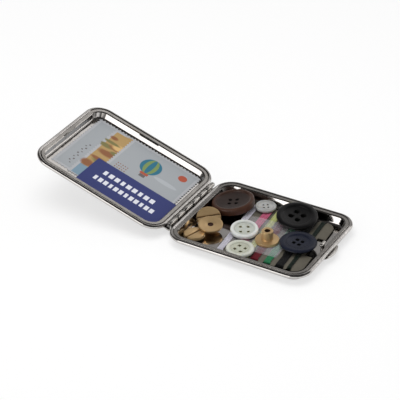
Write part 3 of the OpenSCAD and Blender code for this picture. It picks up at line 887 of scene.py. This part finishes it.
class TIN_OT_card(bpy.types.Operator):
    """Models the notched card that the threads are wound on"""
    bl_idname = "tin.card"
    bl_label = "Card"

    def execute(self, context):
        threads = context.scene.tin_threads
        place, size = on_card()
        card = round_face("notched_card", size.x, size.y, threads.lobe_r, 10)
        bpy.ops.mesh.extrude_region_move(TRANSFORM_OT_translate={"value": (0, 0, size.z)})
        close_up()
        cutters = []
        for middle, width in bands(place):
            for side in (-1, 1):
                edge = side * size.y / 2
                cutters.append(block("notch", (middle - width / 2, edge - threads.notch_d, -MM),
                                     (middle + width / 2, edge + threads.notch_d, 2 * MM)))
        for side in (-1, 1):
            edge = side * size.x / 2
            cutters.append(block("recess", (edge - threads.recess_d, -threads.recess_w / 2, -MM),
                                 (edge + threads.recess_d, threads.recess_w / 2, 2 * MM)))
        combine(card, "DIFFERENCE", *cutters)
        soft_edges(card, 0.1)
        put(smooth(card), place)
        dress(card, paper_like("grey_card", threads.card, 0.75))
        finish_piece(card, "base", "card", "thread_card")
        return {"FINISHED"}


BANDS = ("white", "pink", "yellow", "red", "green", "black", "dark_green")


def bands(place):
    """Middle and width of each winding along the card."""
    found = []
    for band in BANDS:
        low, high = local_box(band + "_thread", place)
        found.append(((low.x + high.x) / 2, high.x - low.x))
    return found


def thread_material(name, rgb):
    """Spun thread: fine strands, a mottled colour and a soft sheen."""
    made, tree, shader = new_material(name)
    place = place_on(tree)
    rubbed = use_group(tree, "Rubbed", place, -700, 0, Scale=0.8, Scratches=0.0)
    strands = clouded(tree, rubbed, tinted(rgb, 0.6), tinted(rgb, 1.15), 0.35, 0.65, "Grain")
    feed(tree, shader, Base_Color=strands, Roughness=0.55, Sheen_Weight=0.15, Sheen_Roughness=0.4)
    twist = node_in(tree, "ShaderNodeTexWave", -700, -400, Vector=place, Scale=1.6, Distortion=1.5)
    bump(tree, shader, twist.outputs["Fac"], 0.4, 0.05 * MM)
    return made


def winding_points(low, high, d, rng):
    """Points of one thread wound from one side of its band to the other, round the card and back."""
    turns = int((high.x - low.x) / (d * 1.04))
    pitch = (high.x - low.x - d) / turns
    end, top, bottom = high.y - d / 2, high.z - d / 2, low.z + d / 2
    corner = (top - bottom) / 2 * 0.85
    middle = (top + bottom) / 2
    flat_places, bend_steps = (-0.6, -0.2, 0.2, 0.6), 6
    section = []
    for side, start in ((1, 90), (-1, 270)):
        y = side * (end - corner)
        section += [(y * place, top if side > 0 else bottom) for place in flat_places]
        for k in range(bend_steps + 1):
            a = math.radians(start - 180 * k / bend_steps)
            section.append((y + math.cos(a) * corner, middle + math.sin(a) * (top - bottom) / 2))
    side_points = len(section) // 2
    points = []
    for turn in range(turns):
        stray = rng.uniform(-0.3, 0.3) * d
        sink = rng.uniform(0, 0.35) * d
        for k, (y, z) in enumerate(section):
            x = low.x + d / 2 + (turn + k / len(section)) * pitch
            inside = 1 if k % side_points < len(flat_places) else 0
            points.append((x + inside * stray, y, z - inside * sink * (1 if z > middle else -1)))
    return points


class TIN_OT_threads(bpy.types.Operator):
    """Winds each thread round the card, turn by turn"""
    bl_idname = "tin.threads"
    bl_label = "Threads"

    def execute(self, context):
        threads = context.scene.tin_threads
        place, _ = on_card()
        for number, band in enumerate(BANDS):
            node = band + "_thread"
            low, high = local_box(node, place)
            points = winding_points(low, high, threads.thread_d, random.Random(number))
            obj = self.tube(band + "_winding", points, threads.thread_d / 2)
            put(obj, place)
            dress(obj, thread_material("thread_" + band, getattr(threads, band)))
            finish_piece(obj, "base", "thread_" + band, node)
        return {"FINISHED"}

    @staticmethod
    def tube(name, points, r):
        """A thin round tube along points, with closed ends."""
        curve = bpy.data.curves.new(name, "CURVE")
        curve.dimensions = "3D"
        curve.bevel_depth = r
        curve.bevel_resolution = 1
        curve.use_fill_caps = True
        line = curve.splines.new("POLY")
        line.points.add(len(points) - 1)
        for point, place in zip(line.points, points):
            point.co = (*place, 1)
        obj = bpy.data.objects.new(name, curve)
        bpy.context.scene.collection.objects.link(obj)
        alone(obj)
        bpy.ops.object.convert(target="MESH")
        obj = started(name)
        bpy.ops.object.mode_set(mode="EDIT")
        close_up()
        return smooth(obj, 60)


class TIN_OT_film(bpy.types.Operator):
    """Lays the thin clear film over the threads"""
    bl_idname = "tin.film"
    bl_label = "Film"

    def execute(self, context):
        threads = context.scene.tin_threads
        place, _ = on_card()
        low, high = local_box("clear_film", place)
        thin = 0.04 * MM
        bpy.ops.object.select_all(action="DESELECT")
        bpy.ops.mesh.primitive_grid_add(x_subdivisions=60, y_subdivisions=60, size=1)
        film = started("clear_sheet")
        film.scale = (high.x - low.x, high.y - low.y, 1)
        film.location = ((low.x + high.x) / 2, (low.y + high.y) / 2, low.z + thin)
        bpy.ops.object.transform_apply(location=True, scale=True)
        creases = bpy.data.textures.new("creases", "CLOUDS")
        creases.noise_scale = 5 * MM
        apply_modifier(film, "DISPLACE", texture=creases, texture_coords="LOCAL", direction="Z",
                       strength=0.08 * MM, mid_level=0.5)
        apply_modifier(film, "SOLIDIFY", thickness=thin, offset=1)
        put(smooth(film, 60), place)
        dress(film, self.film_material(threads.film))
        finish_piece(film, "base", "film", "clear_film")
        return {"FINISHED"}

    @staticmethod
    def film_material(rgb):
        """Frosted clear film, cloudier in some places than in others."""
        made, tree, shader = new_material("frosted_film")
        place = place_on(tree)
        rubbed = use_group(tree, "Rubbed", place, -700, 0, Scale=0.12, Scratches=0.6)
        cloudy = remap(tree, rubbed.outputs["Smudge"], 0.35, 0.65, 0.05, 0.15, -450, 0)
        feed(tree, shader, Base_Color=(*rgb, 1), Roughness=0.28, Alpha=cloudy)
        bump(tree, shader, rubbed.outputs["Smudge"], 0.5, 0.2 * MM)
        return made


# The buttons

def button_profile(d, back_h, edge_h, face_d, dish, bowl, rise):
    """Section of a button in millimetres: domed back, edge, rolled rim and a sunk face."""
    r, face_r = d / 2, face_d / 2
    top, middle = back_h + edge_h, (r + face_r) / 2
    flat_r = r * 0.6
    soft = min(0.3, edge_h / 3)
    points = [(0, 0), (flat_r, 0), ((flat_r + r) / 2, back_h * 0.35), (r - soft, back_h), (r, back_h + soft)]
    for x, z in arc((0, 0), 1, 0, 180, 12):
        points.append((middle + x * (r - middle), top - (1 - z) * (rise if x > 0 else dish)))
    for k in range(1, 7):
        share = 1 - k / 6
        points.append((face_r * share, top - dish - bowl * (1 - share ** 2)))
    return points


def make_button(name, profile, hole_r, pitch, turn, steps):
    """A turned button with four sewing holes, whose walls take the second material, a painted shade."""
    obj = lathe(name, profile, steps)
    soft_edges(obj, 0.25, 3, 30)
    top = max(z for _, z in profile) * MM
    holes = []
    corners = [(x * pitch / 2 * MM, y * pitch / 2 * MM) for x in (-1, 1) for y in (-1, 1)]
    for x, y in corners:
        holes.append(rod("hole", hole_r * MM, (x, y, -MM), (x, y, top + MM), 32))
    combine(obj, "DIFFERENCE", *holes)
    reach = hole_r * MM
    for x, y in corners:
        mark_faces(obj, (x - reach, y - reach, 0), (x + reach, y + reach, top))
    soft_edges(obj, 0.1, 2, 50)
    smooth(obj, 40)
    return put(obj, Matrix.Rotation(math.radians(turn), 4, "Z"))


def moulded(name, rgb, rough, place, edge=None, face_r=0.0, gloss=0.5, clouds=0.25, through=0.0):
    """Moulded or cut button stuff: a face and an edge colour, clouds, fine marks and a soft gloss."""
    made, tree, shader = new_material(name)
    local = place_on(tree, place)
    rubbed = use_group(tree, "Rubbed", local, -700, 0, Scale=0.25, Scratches=0.4)
    cloudy = remap(tree, rubbed.outputs["Smudge"], 0.3, 0.7, 0, 1, -450, 200)
    body = mix_colour(tree, cloudy, rgb, tinted(rgb, 1 - clouds), -200, 200)
    if edge:
        # The edge colour lies outside face_r; on the pearly and cream buttons the darker face inside it is
        # painted shade in the recess.
        spot = use_group(tree, "Spot", local, -700, 300, Radii=(face_r, face_r, 1), Softness=0.55)
        rim = mix_colour(tree, cloudy, edge, tinted(edge, 1 - clouds), -200, 400)
        body = mix_colour(tree, spot.outputs["Mask"], rim, body, 0, 300)
    worn = remap(tree, rubbed.outputs["Grain"], 0.3, 0.7, rough * 0.8, rough * 1.3, -450, -50)
    feed(tree, shader, Base_Color=body, Roughness=worn, Specular_IOR_Level=gloss,
         Subsurface_Weight=through, Subsurface_Radius=(MM, 0.8 * MM, 0.6 * MM))
    bump(tree, shader, rubbed.outputs["Height"], 0.25, 0.04 * MM)
    return made


# Each button's section and its holes, in millimetres and degrees, the painted shade in its holes, and its
# finish
BUTTONS = {
    "brown_button": (
        dict(d=19.3, back_h=1, edge_h=3.4, face_d=15.4, dish=0.6, bowl=0.7, rise=0.9),
        dict(hole_r=0.85, pitch=3.2, turn=20), (0.008, 0.005, 0.004), dict(rough=0.36, face_r=6.8)),
    "clear_button": (
        dict(d=9.6, back_h=0.3, edge_h=1.3, face_d=7, dish=0.35, bowl=0.1, rise=0.5),
        dict(hole_r=0.45, pitch=2, turn=35), (0.16, 0.16, 0.15), dict(rough=0.22, through=0.5)),
    "black_button": (
        dict(d=18.5, back_h=2.4, edge_h=1.2, face_d=12.4, dish=0.45, bowl=0.3, rise=0.6),
        dict(hole_r=1.25, pitch=3.9, turn=-16), (0.001, 0.001, 0.001), dict(rough=0.32)),
    "navy_button": (
        dict(d=16.6, back_h=1.3, edge_h=1.1, face_d=10.2, dish=0.4, bowl=0.25, rise=0.6),
        dict(hole_r=0.85, pitch=2.7, turn=-8), (0.002, 0.002, 0.004), dict(rough=0.3)),
    # On the pearly and cream buttons the face inside face_r is darker: painted shade in the recess.
    "pearl_button": (
        dict(d=12.5, back_h=0.6, edge_h=1.9, face_d=8.6, dish=0.8, bowl=0.2, rise=0.9),
        dict(hole_r=0.62, pitch=3.4, turn=30), (0.34, 0.33, 0.20),
        dict(rough=0.2, face_r=3.9, clouds=0.12, through=0.2)),
    "cream_button": (
        dict(d=12.5, back_h=0.5, edge_h=1.6, face_d=8.2, dish=0.65, bowl=0.2, rise=0.8),
        dict(hole_r=0.66, pitch=3.2, turn=-12), (0.24, 0.23, 0.14),
        dict(rough=0.26, face_r=3.7, clouds=0.12, through=0.2)),
}


class TIN_OT_buttons(bpy.types.Operator):
    """Turns the six loose buttons and pierces their holes"""
    bl_idname = "tin.buttons"
    bl_label = "Buttons"

    def execute(self, context):
        colours = context.scene.tin_buttons
        for node, (section, holes, shade, finish) in BUTTONS.items():
            kind = node.split("_")[0]
            place = seat(node)
            button = make_button(node + "_turned", button_profile(**section), steps=colours.steps, **holes)
            put(button, place)
            stuff = moulded(node + "_stuff", rgb=getattr(colours, kind), place=place,
                            edge=getattr(colours, kind + "_edge", None), **finish)
            # The walls of the holes take a painted shade, darker than the button.
            dress(button, stuff, plain_dark(node + "_holes", shade))
            finish_piece(button, "base", "button_" + kind, node)
        return {"FINISHED"}


# The brass pieces

class TIN_OT_brass(bpy.types.Operator):
    """Turns the binding post, the two slotted screws and the pierced cap"""
    bl_idname = "tin.brass"
    bl_label = "Brass"

    def execute(self, context):
        brass = context.scene.tin_brass
        metal("turned_brass", brass.brass, 0.28, 0.38, ripple=0.03, scratches=0.2, smudge_scale=0.1,
              dark=0.88, grain=0.002, shine=brass.shine)
        # The second brass material is painted shade, dark brown, on the faces inside the slots and bores.
        plain_dark("brass_stain", brass.stain, 0.45)
        self.post(brass)
        self.screw("far_slotted_screw", brass, head_d=11.3, shank=2.25, turn=40)
        self.screw("near_slotted_screw", brass, head_d=9.8, shank=0.9, turn=73)
        self.cap(brass)
        return {"FINISHED"}

    @staticmethod
    def finish(obj, node):
        smooth(obj, 30)
        put(obj, seat(node))
        dress(obj, bpy.data.materials["turned_brass"], bpy.data.materials["brass_stain"])
        finish_piece(obj, "base", "brass", node)

    def post(self, brass):
        head_r, head_t, barrel_r, bore_r, top = 5.3, 1.2, 2.6, 1.3, 5.6
        post = lathe("binding_post", [
            (0, 0), (head_r, 0), (head_r, head_t), (barrel_r, head_t), (barrel_r, top), (bore_r, top),
            (bore_r, head_t), (0, head_t)], brass.steps)
        soft_edges(post, 0.18, 3)
        reach = bore_r * MM
        # The bore's faces take the painted shade.
        mark_faces(post, (-reach, -reach, MM), (reach, reach, 5.3 * MM))
        self.finish(post, "brass_post")

    def screw(self, node, brass, head_d, shank, turn):
        head_r, head_t, brim, shank_r, tip = head_d / 2, 1.2, 0.4, 1.5, 0.3
        screw = lathe(node + "_turned", [
            (0, 0), (shank_r - tip, 0), (shank_r, tip), (shank_r, shank), (head_r, shank),
            (head_r - brim, shank + head_t), (0, shank + head_t)], brass.steps)
        soft_edges(screw, 0.2, 3, 25)
        reach, half, deep, edge = head_r * MM, brass.slot_w / 2, 0.6 * MM, 0.01 * MM
        top = (shank + head_t) * MM
        turned = Matrix.Rotation(math.radians(turn), 4, "Z")
        slot = block("slot", (-reach - MM, -half, top - deep), (reach + MM, half, top + MM))
        combine(screw, "DIFFERENCE", put(slot, turned))
        screw.data.transform(turned.inverted())
        # The slot's faces take the painted shade.
        mark_faces(screw, (-reach, -half - edge, top - deep - edge), (reach, half + edge, top - 0.1 * MM))
        screw.data.transform(turned)
        soft_edges(screw, 0.06, 2, 50)
        self.finish(screw, node)

    def cap(self, brass):
        hole_r = 1.25
        cap = lathe("pierced_cap", [
            (0, 0), (5.3, 0), (5.55, 1.0), (5.4, 1.18), (5.1, 1.2), (4.4, 1.12), (3.2, 1.04),
            (1.7, 1.0), (hole_r, 0.85), (1.15, 0.4), (0, 0.4)], brass.steps)
        soft_edges(cap, 0.12, 2, 40)
        reach = hole_r * MM
        # The hole's faces take the painted shade.
        mark_faces(cap, (-reach, -reach, 0.1 * MM), (reach, reach, 0.84 * MM))
        self.finish(cap, "brass_cap")


# The stamps and the label

# Width of a stamp's pale border, in millimetres
STAMP_BORDER = 1.7


def printed(name, rgb, place, shapes, soft=0.05):
    """Paper printed with flat shapes, each a group's name, a colour, a place and a size in millimetres."""
    made, tree, shader = new_material(name)
    local = place_on(tree, place)
    rubbed = use_group(tree, "Rubbed", local, -700, -600, Scale=0.35, Scratches=0.3)
    ink = remap(tree, rubbed.outputs["Grain"], 0.3, 0.75, 0.0, 0.12, -450, -400)
    colour_now = mix_colour(tree, ink, rgb, tinted(rgb, 0.75), -200, 0)
    for number, (kind, shape_rgb, centre, size) in enumerate(shapes):
        sizes = {"Half_size": (*size, 1)} if kind == "Bar" else {"Radii": (*size, 1), "Softness": soft}
        mask = use_group(tree, kind, local, -700, 200 * number, Centre=(*centre, 0), **sizes)
        colour_now = mix_colour(tree, mask.outputs["Mask"], colour_now, shape_rgb, 0, 200 * number)
    feed(tree, shader, Base_Color=colour_now, Roughness=0.45, Specular_IOR_Level=0.35)
    bump(tree, shader, rubbed.outputs["Grain"], 0.25, 0.03 * MM)
    return made


def label_marks(paper, size):
    """Two rows of plain blocks on the label, first the upper one."""
    marks = []
    half_h = 1.45
    for top, start, end, count in ((5, 6.5, 35, 9), (10.7, 4.8, 38, 12)):
        pitch = (end - start) / count
        for k in range(count):
            centre = (start + (k + 0.5) * pitch, size.y - top - 1.5)
            marks.append(("Bar", paper.marks, centre, (pitch * (0.36 if k % 3 else 0.28), half_h)))
    return marks


def stamp_field(size, rgb):
    """A stamp's plain field inside its pale border."""
    middle = (size.x / 2, size.y / 2)
    return [("Bar", rgb, middle, (middle[0] - STAMP_BORDER, middle[1] - STAMP_BORDER))]


def balloon(paper, at, r):
    """A striped balloon with its basket: flat shapes round a middle."""
    x, y = at
    shapes = [("Spot", paper.teal, at, (r, r * 1.12)), ("Spot", paper.leaf, at, (r * 0.62, r * 1.12)),
              ("Spot", paper.teal, at, (r * 0.25, r * 1.12))]
    shapes += [("Bar", paper.sun, (x, y - r * 1.25), (r * 0.42, r * 0.16)),
               ("Bar", paper.ink, (x, y - r * 1.62), (r * 0.3, r * 0.2))]
    return shapes


def perforation_pins(low, high, paper):
    """A row of pins along each edge of a stamp, to cut its teeth with."""
    across = ((1, 0), high.x - low.x)
    along = ((0, 1), high.y - low.y)
    rows = []
    for start, (way, edge_l) in (((low.x, low.y), across), ((low.x, high.y), across),
                                 ((low.x, low.y), along), ((high.x, low.y), along)):
        row = rod("row", paper.hole_r, (*start, low.z - MM), (*start, high.z + MM), 10)
        rows.append(apply_modifier(
            row, "ARRAY", count=round(edge_l / paper.pitch) + 1, use_relative_offset=False,
            use_constant_offset=True,
            constant_offset_displace=(way[0] * paper.pitch, way[1] * paper.pitch, 0)))
    return rows


def make_paper(name, node, own, perforated, paper):
    """A flat paper from its node's corners, kept to the lid's floor, with teeth if it has them."""
    low, high = local_box(node, own)
    sheet = block(name, low, high)
    if perforated:
        combine(sheet, "DIFFERENCE", *perforation_pins(low, high, paper))
    case = bpy.context.scene.tin_case
    place, long, wide, _ = tray_place("lid_shell", own)
    overlap, tall = 0.25 * MM, 20 * MM
    inset = bead_inset(case.lid_foot) - overlap
    floor = round_face("floor_outline", long - 2 * inset, wide - 2 * inset,
                       case.corner_r + case.bead_r - inset, 8)
    bpy.ops.mesh.extrude_region_move(TRANSFORM_OT_translate={"value": (0, 0, tall)})
    close_up()
    middle = (own.inverted() @ place).translation
    put(floor, Matrix.Translation((middle.x, middle.y, low.z - tall / 2)))
    combine(sheet, "INTERSECT", floor)
    return sheet, low, high


class TIN_OT_papers(bpy.types.Operator):
    """Lays the three stamps and the blue label in the lid"""
    bl_idname = "tin.papers"
    bl_label = "Stamps and label"

    def execute(self, context):
        paper = context.scene.tin_paper
        own = in_lid()
        prints = {"grey_stamp": self.pale_print, "picture_stamp": self.country_print,
                  "large_stamp": self.balloon_print, "blue_label": label_marks}
        for node, drawn in prints.items():
            is_label = node == "blue_label"
            sheet, low, high = make_paper(node + "_paper", node, own, not is_label, paper)
            put(sheet, own)
            corner = own @ Matrix.Translation(low)
            ground = paper.label if is_label else paper.border
            soft = 0.7 if node == "picture_stamp" else 0.05
            dress(sheet, printed(node + "_print", ground, corner, drawn(paper, (high - low) / MM), soft))
            finish_piece(sheet, "lid", "label_paper" if is_label else "stamp_paper", node)
        return {"FINISHED"}

    @staticmethod
    def pale_print(paper, size):
        """A short double column of small marks."""
        column, foot, step = size.x * 0.3, 5, 1.7
        marks = []
        for k in range(11):
            at = (column - 1.1 * (k % 2), foot + step * k)
            marks.append(("Bar", paper.ink, at, (0.4, 0.28 + 0.1 * (k % 3))))
        return stamp_field(size, paper.stamp) + marks

    @staticmethod
    def country_print(paper, size):
        """Soft patches of earth colours over a strip of sky."""
        foot, step = 9, 1.2
        hills = [("Bar", paper.sky, (size.x / 2, 5), (size.x / 2 - STAMP_BORDER, 4))]
        rng = random.Random(5)
        for k in range(26):
            rgb = (paper.ochre, paper.olive, paper.russet, tinted(paper.ochre, 1.5), paper.olive)[k % 5]
            at = (rng.uniform(3, size.x - 3), foot + step * k)
            hills.append(("Spot", rgb, at, (rng.uniform(1.4, 3.4), rng.uniform(0.7, 1.9))))
        return stamp_field(size, paper.ochre) + hills

    @staticmethod
    def balloon_print(paper, size):
        """A striped balloon and a sun, with small dots below."""
        field = stamp_field(size, paper.stamp)
        sun = [("Spot", paper.sun, (size.x - 6.5, size.y - 7), (2.1, 2.1))]
        far = [("Spot", tinted(paper.stamp, 1.2), (size.x * 0.72, size.y * 0.62), (6, 1.3))]
        dots = [("Bar", paper.russet, (4.2 + 1.3 * (k % 5), size.y * 0.44 + 1.6 * (k // 5)), (0.3, 0.3))
                for k in range(15)]
        return field + sun + far + dots + balloon(paper, (size.x * 0.44, size.y - 11.5), 5)


# The stage

# Brightness of the dim room by height above the horizon, from 0 to 1
ROOM_LEVELS = ((0.0, 1.0), (0.08, 0.8), (0.16, 0.16), (0.4, 0.1), (0.9, 0.04))
# Direction, half width and half height as sines, and brightness of each softbox that shiny metal shows
SOFTBOXES = (
    ((-0.272, -0.892, 0.361), 0.40, 0.25, 2.2),
    ((-0.42, 0.731, 0.538), 0.50, 0.20, 0.34),
    ((-0.045, 0.731, 0.682), 0.24, 0.10, 1.0),
    ((0.55, 0.76, 0.34), 0.30, 0.07, 2.4),
    ((0.40, 0.74, 0.54), 0.16, 0.05, 1.6),
    ((0.81, -0.50, 0.27), 0.30, 0.28, 0.02),
)


# Place and width, in metres, of the soft lamp, which points at the origin
KEY_PLACE = (-0.07, -0.04, 0.62)
KEY_WIDTH = 0.5


class TIN_OT_stage(bpy.types.Operator):
    """Makes the camera, the pale floor, the soft lamp and the studio around them"""
    bl_idname = "tin.stage"
    bl_label = "Stage"

    def execute(self, context):
        stage = context.scene.tin_stage
        self.make_camera(context, stage)
        self.make_floor(stage)
        self.make_world(context, stage)
        self.make_lamp("key", stage.key_power, KEY_PLACE, KEY_WIDTH)
        context.scene.view_settings.view_transform = "Standard"
        return {"FINISHED"}

    @staticmethod
    def make_camera(context, stage):
        a, e = stage.azimuth, stage.elevation
        back = Vector((math.sin(a) * math.cos(e), -math.cos(a) * math.cos(e), math.sin(e)))
        bpy.ops.object.camera_add()
        camera = context.object
        camera.name = "camera"
        camera.location = Vector(stage.target) + back * stage.distance
        camera.rotation_euler = (-back).to_track_quat("-Z", "Y").to_euler()
        camera.data.sensor_width = 36
        camera.data.lens = stage.lens
        camera.data.clip_start = 0.01
        context.scene.camera = camera

    @staticmethod
    def make_floor(stage):
        bpy.ops.mesh.primitive_plane_add(size=6, location=(0, 0, 0))
        floor = started("floor")
        made, tree, shader = new_material("pale_floor")
        feed(tree, shader, Base_Color=(*stage.floor_colour, 1), Roughness=0.9, Specular_IOR_Level=0)
        ray = node_in(tree, "ShaderNodeLightPath", -300, 300)
        white = node_in(tree, "ShaderNodeEmission", 500, -400)
        mixed = node_in(tree, "ShaderNodeMixShader", 800)
        seen = maths(tree, "MAXIMUM", ray.outputs["Is Camera Ray"], ray.outputs["Is Transmission Ray"],
                     -200, 300)
        seen = maths(tree, "MULTIPLY", seen, stage.floor_lift, -50, 300)
        mirrored = maths(tree, "MULTIPLY", ray.outputs["Is Glossy Ray"], stage.mirror_lift, -50, 150)
        tree.links.new(maths(tree, "MAXIMUM", seen, mirrored, 100, 300), mixed.inputs[0])
        tree.links.new(shader.outputs[0], mixed.inputs[1])
        tree.links.new(white.outputs[0], mixed.inputs[2])
        out = next(n for n in tree.nodes if n.type == "OUTPUT_MATERIAL")
        tree.links.new(mixed.outputs[0], out.inputs["Surface"])
        dress(floor, made)

    @staticmethod
    def softbox_mask(tree, way, ahead, half_w, half_h, y):
        """1 where a direction meets a rectangle square to the one ahead, 0 elsewhere, soft at its edges."""
        across = ahead.cross(Vector((0, 0, 1))).normalized()
        mask, soft = None, 0.02
        for axis, half in ((ahead, None), (across, half_w), (across.cross(ahead), half_h)):
            amount = vector_maths(tree, "DOT_PRODUCT", way, axis, -1300, y)
            if half is None:
                mask = maths(tree, "GREATER_THAN", amount, 0, -1100, y)
            else:
                amount = maths(tree, "ABSOLUTE", amount, None, -1100, y)
                inside = remap(tree, amount, half - soft, half + soft, 1, 0, -950, y)
                mask = maths(tree, "MULTIPLY", mask, inside, -800, y)
        return mask

    def make_world(self, context, stage):
        """White for the camera, even light on dull surfaces, and softboxes in a dim room for metal."""
        world = bpy.data.worlds.new("studio")
        context.scene.world = world
        world.use_nodes = True
        tree = world.node_tree
        back = next(n for n in tree.nodes if n.type == "BACKGROUND")
        way = node_in(tree, "ShaderNodeTexCoord", -1500).outputs["Generated"]
        height = node_in(tree, "ShaderNodeSeparateXYZ", -1300, 300, Vector=way)
        levels = node_in(tree, "ShaderNodeValToRGB", -1100, 300, Fac=height.outputs["Z"])
        steps = levels.color_ramp.elements
        while len(steps) < len(ROOM_LEVELS):
            steps.new(1.0)
        for step, (position, level) in zip(steps, ROOM_LEVELS):
            step.position = position
            step.color = (level, level * 0.97, level * 0.95, 1)
        room = levels.outputs["Color"]
        for number, (direction, half_w, half_h, level) in enumerate(SOFTBOXES):
            row = -300 * number
            mask = self.softbox_mask(tree, way, Vector(direction).normalized(), half_w, half_h, row)
            room = mix_colour(tree, mask, room, (level, level * 0.98, level * 0.97), -600, row)
        ray = node_in(tree, "ShaderNodeLightPath", -600, 400)
        dull = mix_colour(tree, ray.outputs["Is Diffuse Ray"], room, (stage.fill,) * 3, -300, 200)
        seen = mix_colour(tree, ray.outputs["Is Camera Ray"], dull, (1, 1, 1), -100, 200)
        feed(tree, back, Color=seen)

    @staticmethod
    def make_lamp(name, power, place, size):
        data = bpy.data.lights.new(name, "AREA")
        data.energy = power
        data.size = size
        lamp = bpy.data.objects.new(name, data)
        lamp.location = place
        lamp.rotation_euler = (-Vector(place)).to_track_quat("-Z", "Y").to_euler()
        lamp.visible_glossy = False
        bpy.context.scene.collection.objects.link(lamp)


class TIN_PT_panel(bpy.types.Panel):
    """Lists the steps that make the tin"""
    bl_idname = "TIN_PT_panel"
    bl_label = "Sewing Tin"
    bl_space_type = "VIEW_3D"
    bl_region_type = "UI"
    bl_category = "Sewing Tin"

    def draw(self, context):
        for step in STEPS:
            self.layout.operator(step.bl_idname)


GROUPS = {
    "tin_stage": StageSettings,
    "tin_case": CaseSettings,
    "tin_hinge": HingeSettings,
    "tin_buttons": ButtonSettings,
    "tin_brass": BrassSettings,
    "tin_threads": ThreadSettings,
    "tin_paper": PaperSettings,
}
STEPS = (TIN_OT_stage, TIN_OT_case, TIN_OT_hinge, TIN_OT_catch, TIN_OT_card, TIN_OT_threads,
         TIN_OT_film, TIN_OT_buttons, TIN_OT_brass, TIN_OT_papers)


def register():
    for cls in (*GROUPS.values(), *STEPS, TIN_PT_panel):
        bpy.utils.register_class(cls)
    for name, cls in GROUPS.items():
        setattr(bpy.types.Scene, name, PointerProperty(type=cls))


def unregister():
    for name in GROUPS:
        delattr(bpy.types.Scene, name)
    for cls in reversed((*GROUPS.values(), *STEPS, TIN_PT_panel)):
        bpy.utils.unregister_class(cls)


def main():
    register()
    bpy.ops.tin.stage()
    bpy.ops.tin.case()
    bpy.ops.tin.hinge()
    bpy.ops.tin.catch()
    bpy.ops.tin.card()
    bpy.ops.tin.threads()
    bpy.ops.tin.film()
    bpy.ops.tin.buttons()
    bpy.ops.tin.brass()
    bpy.ops.tin.papers()


if __name__ == "__main__":
    main()
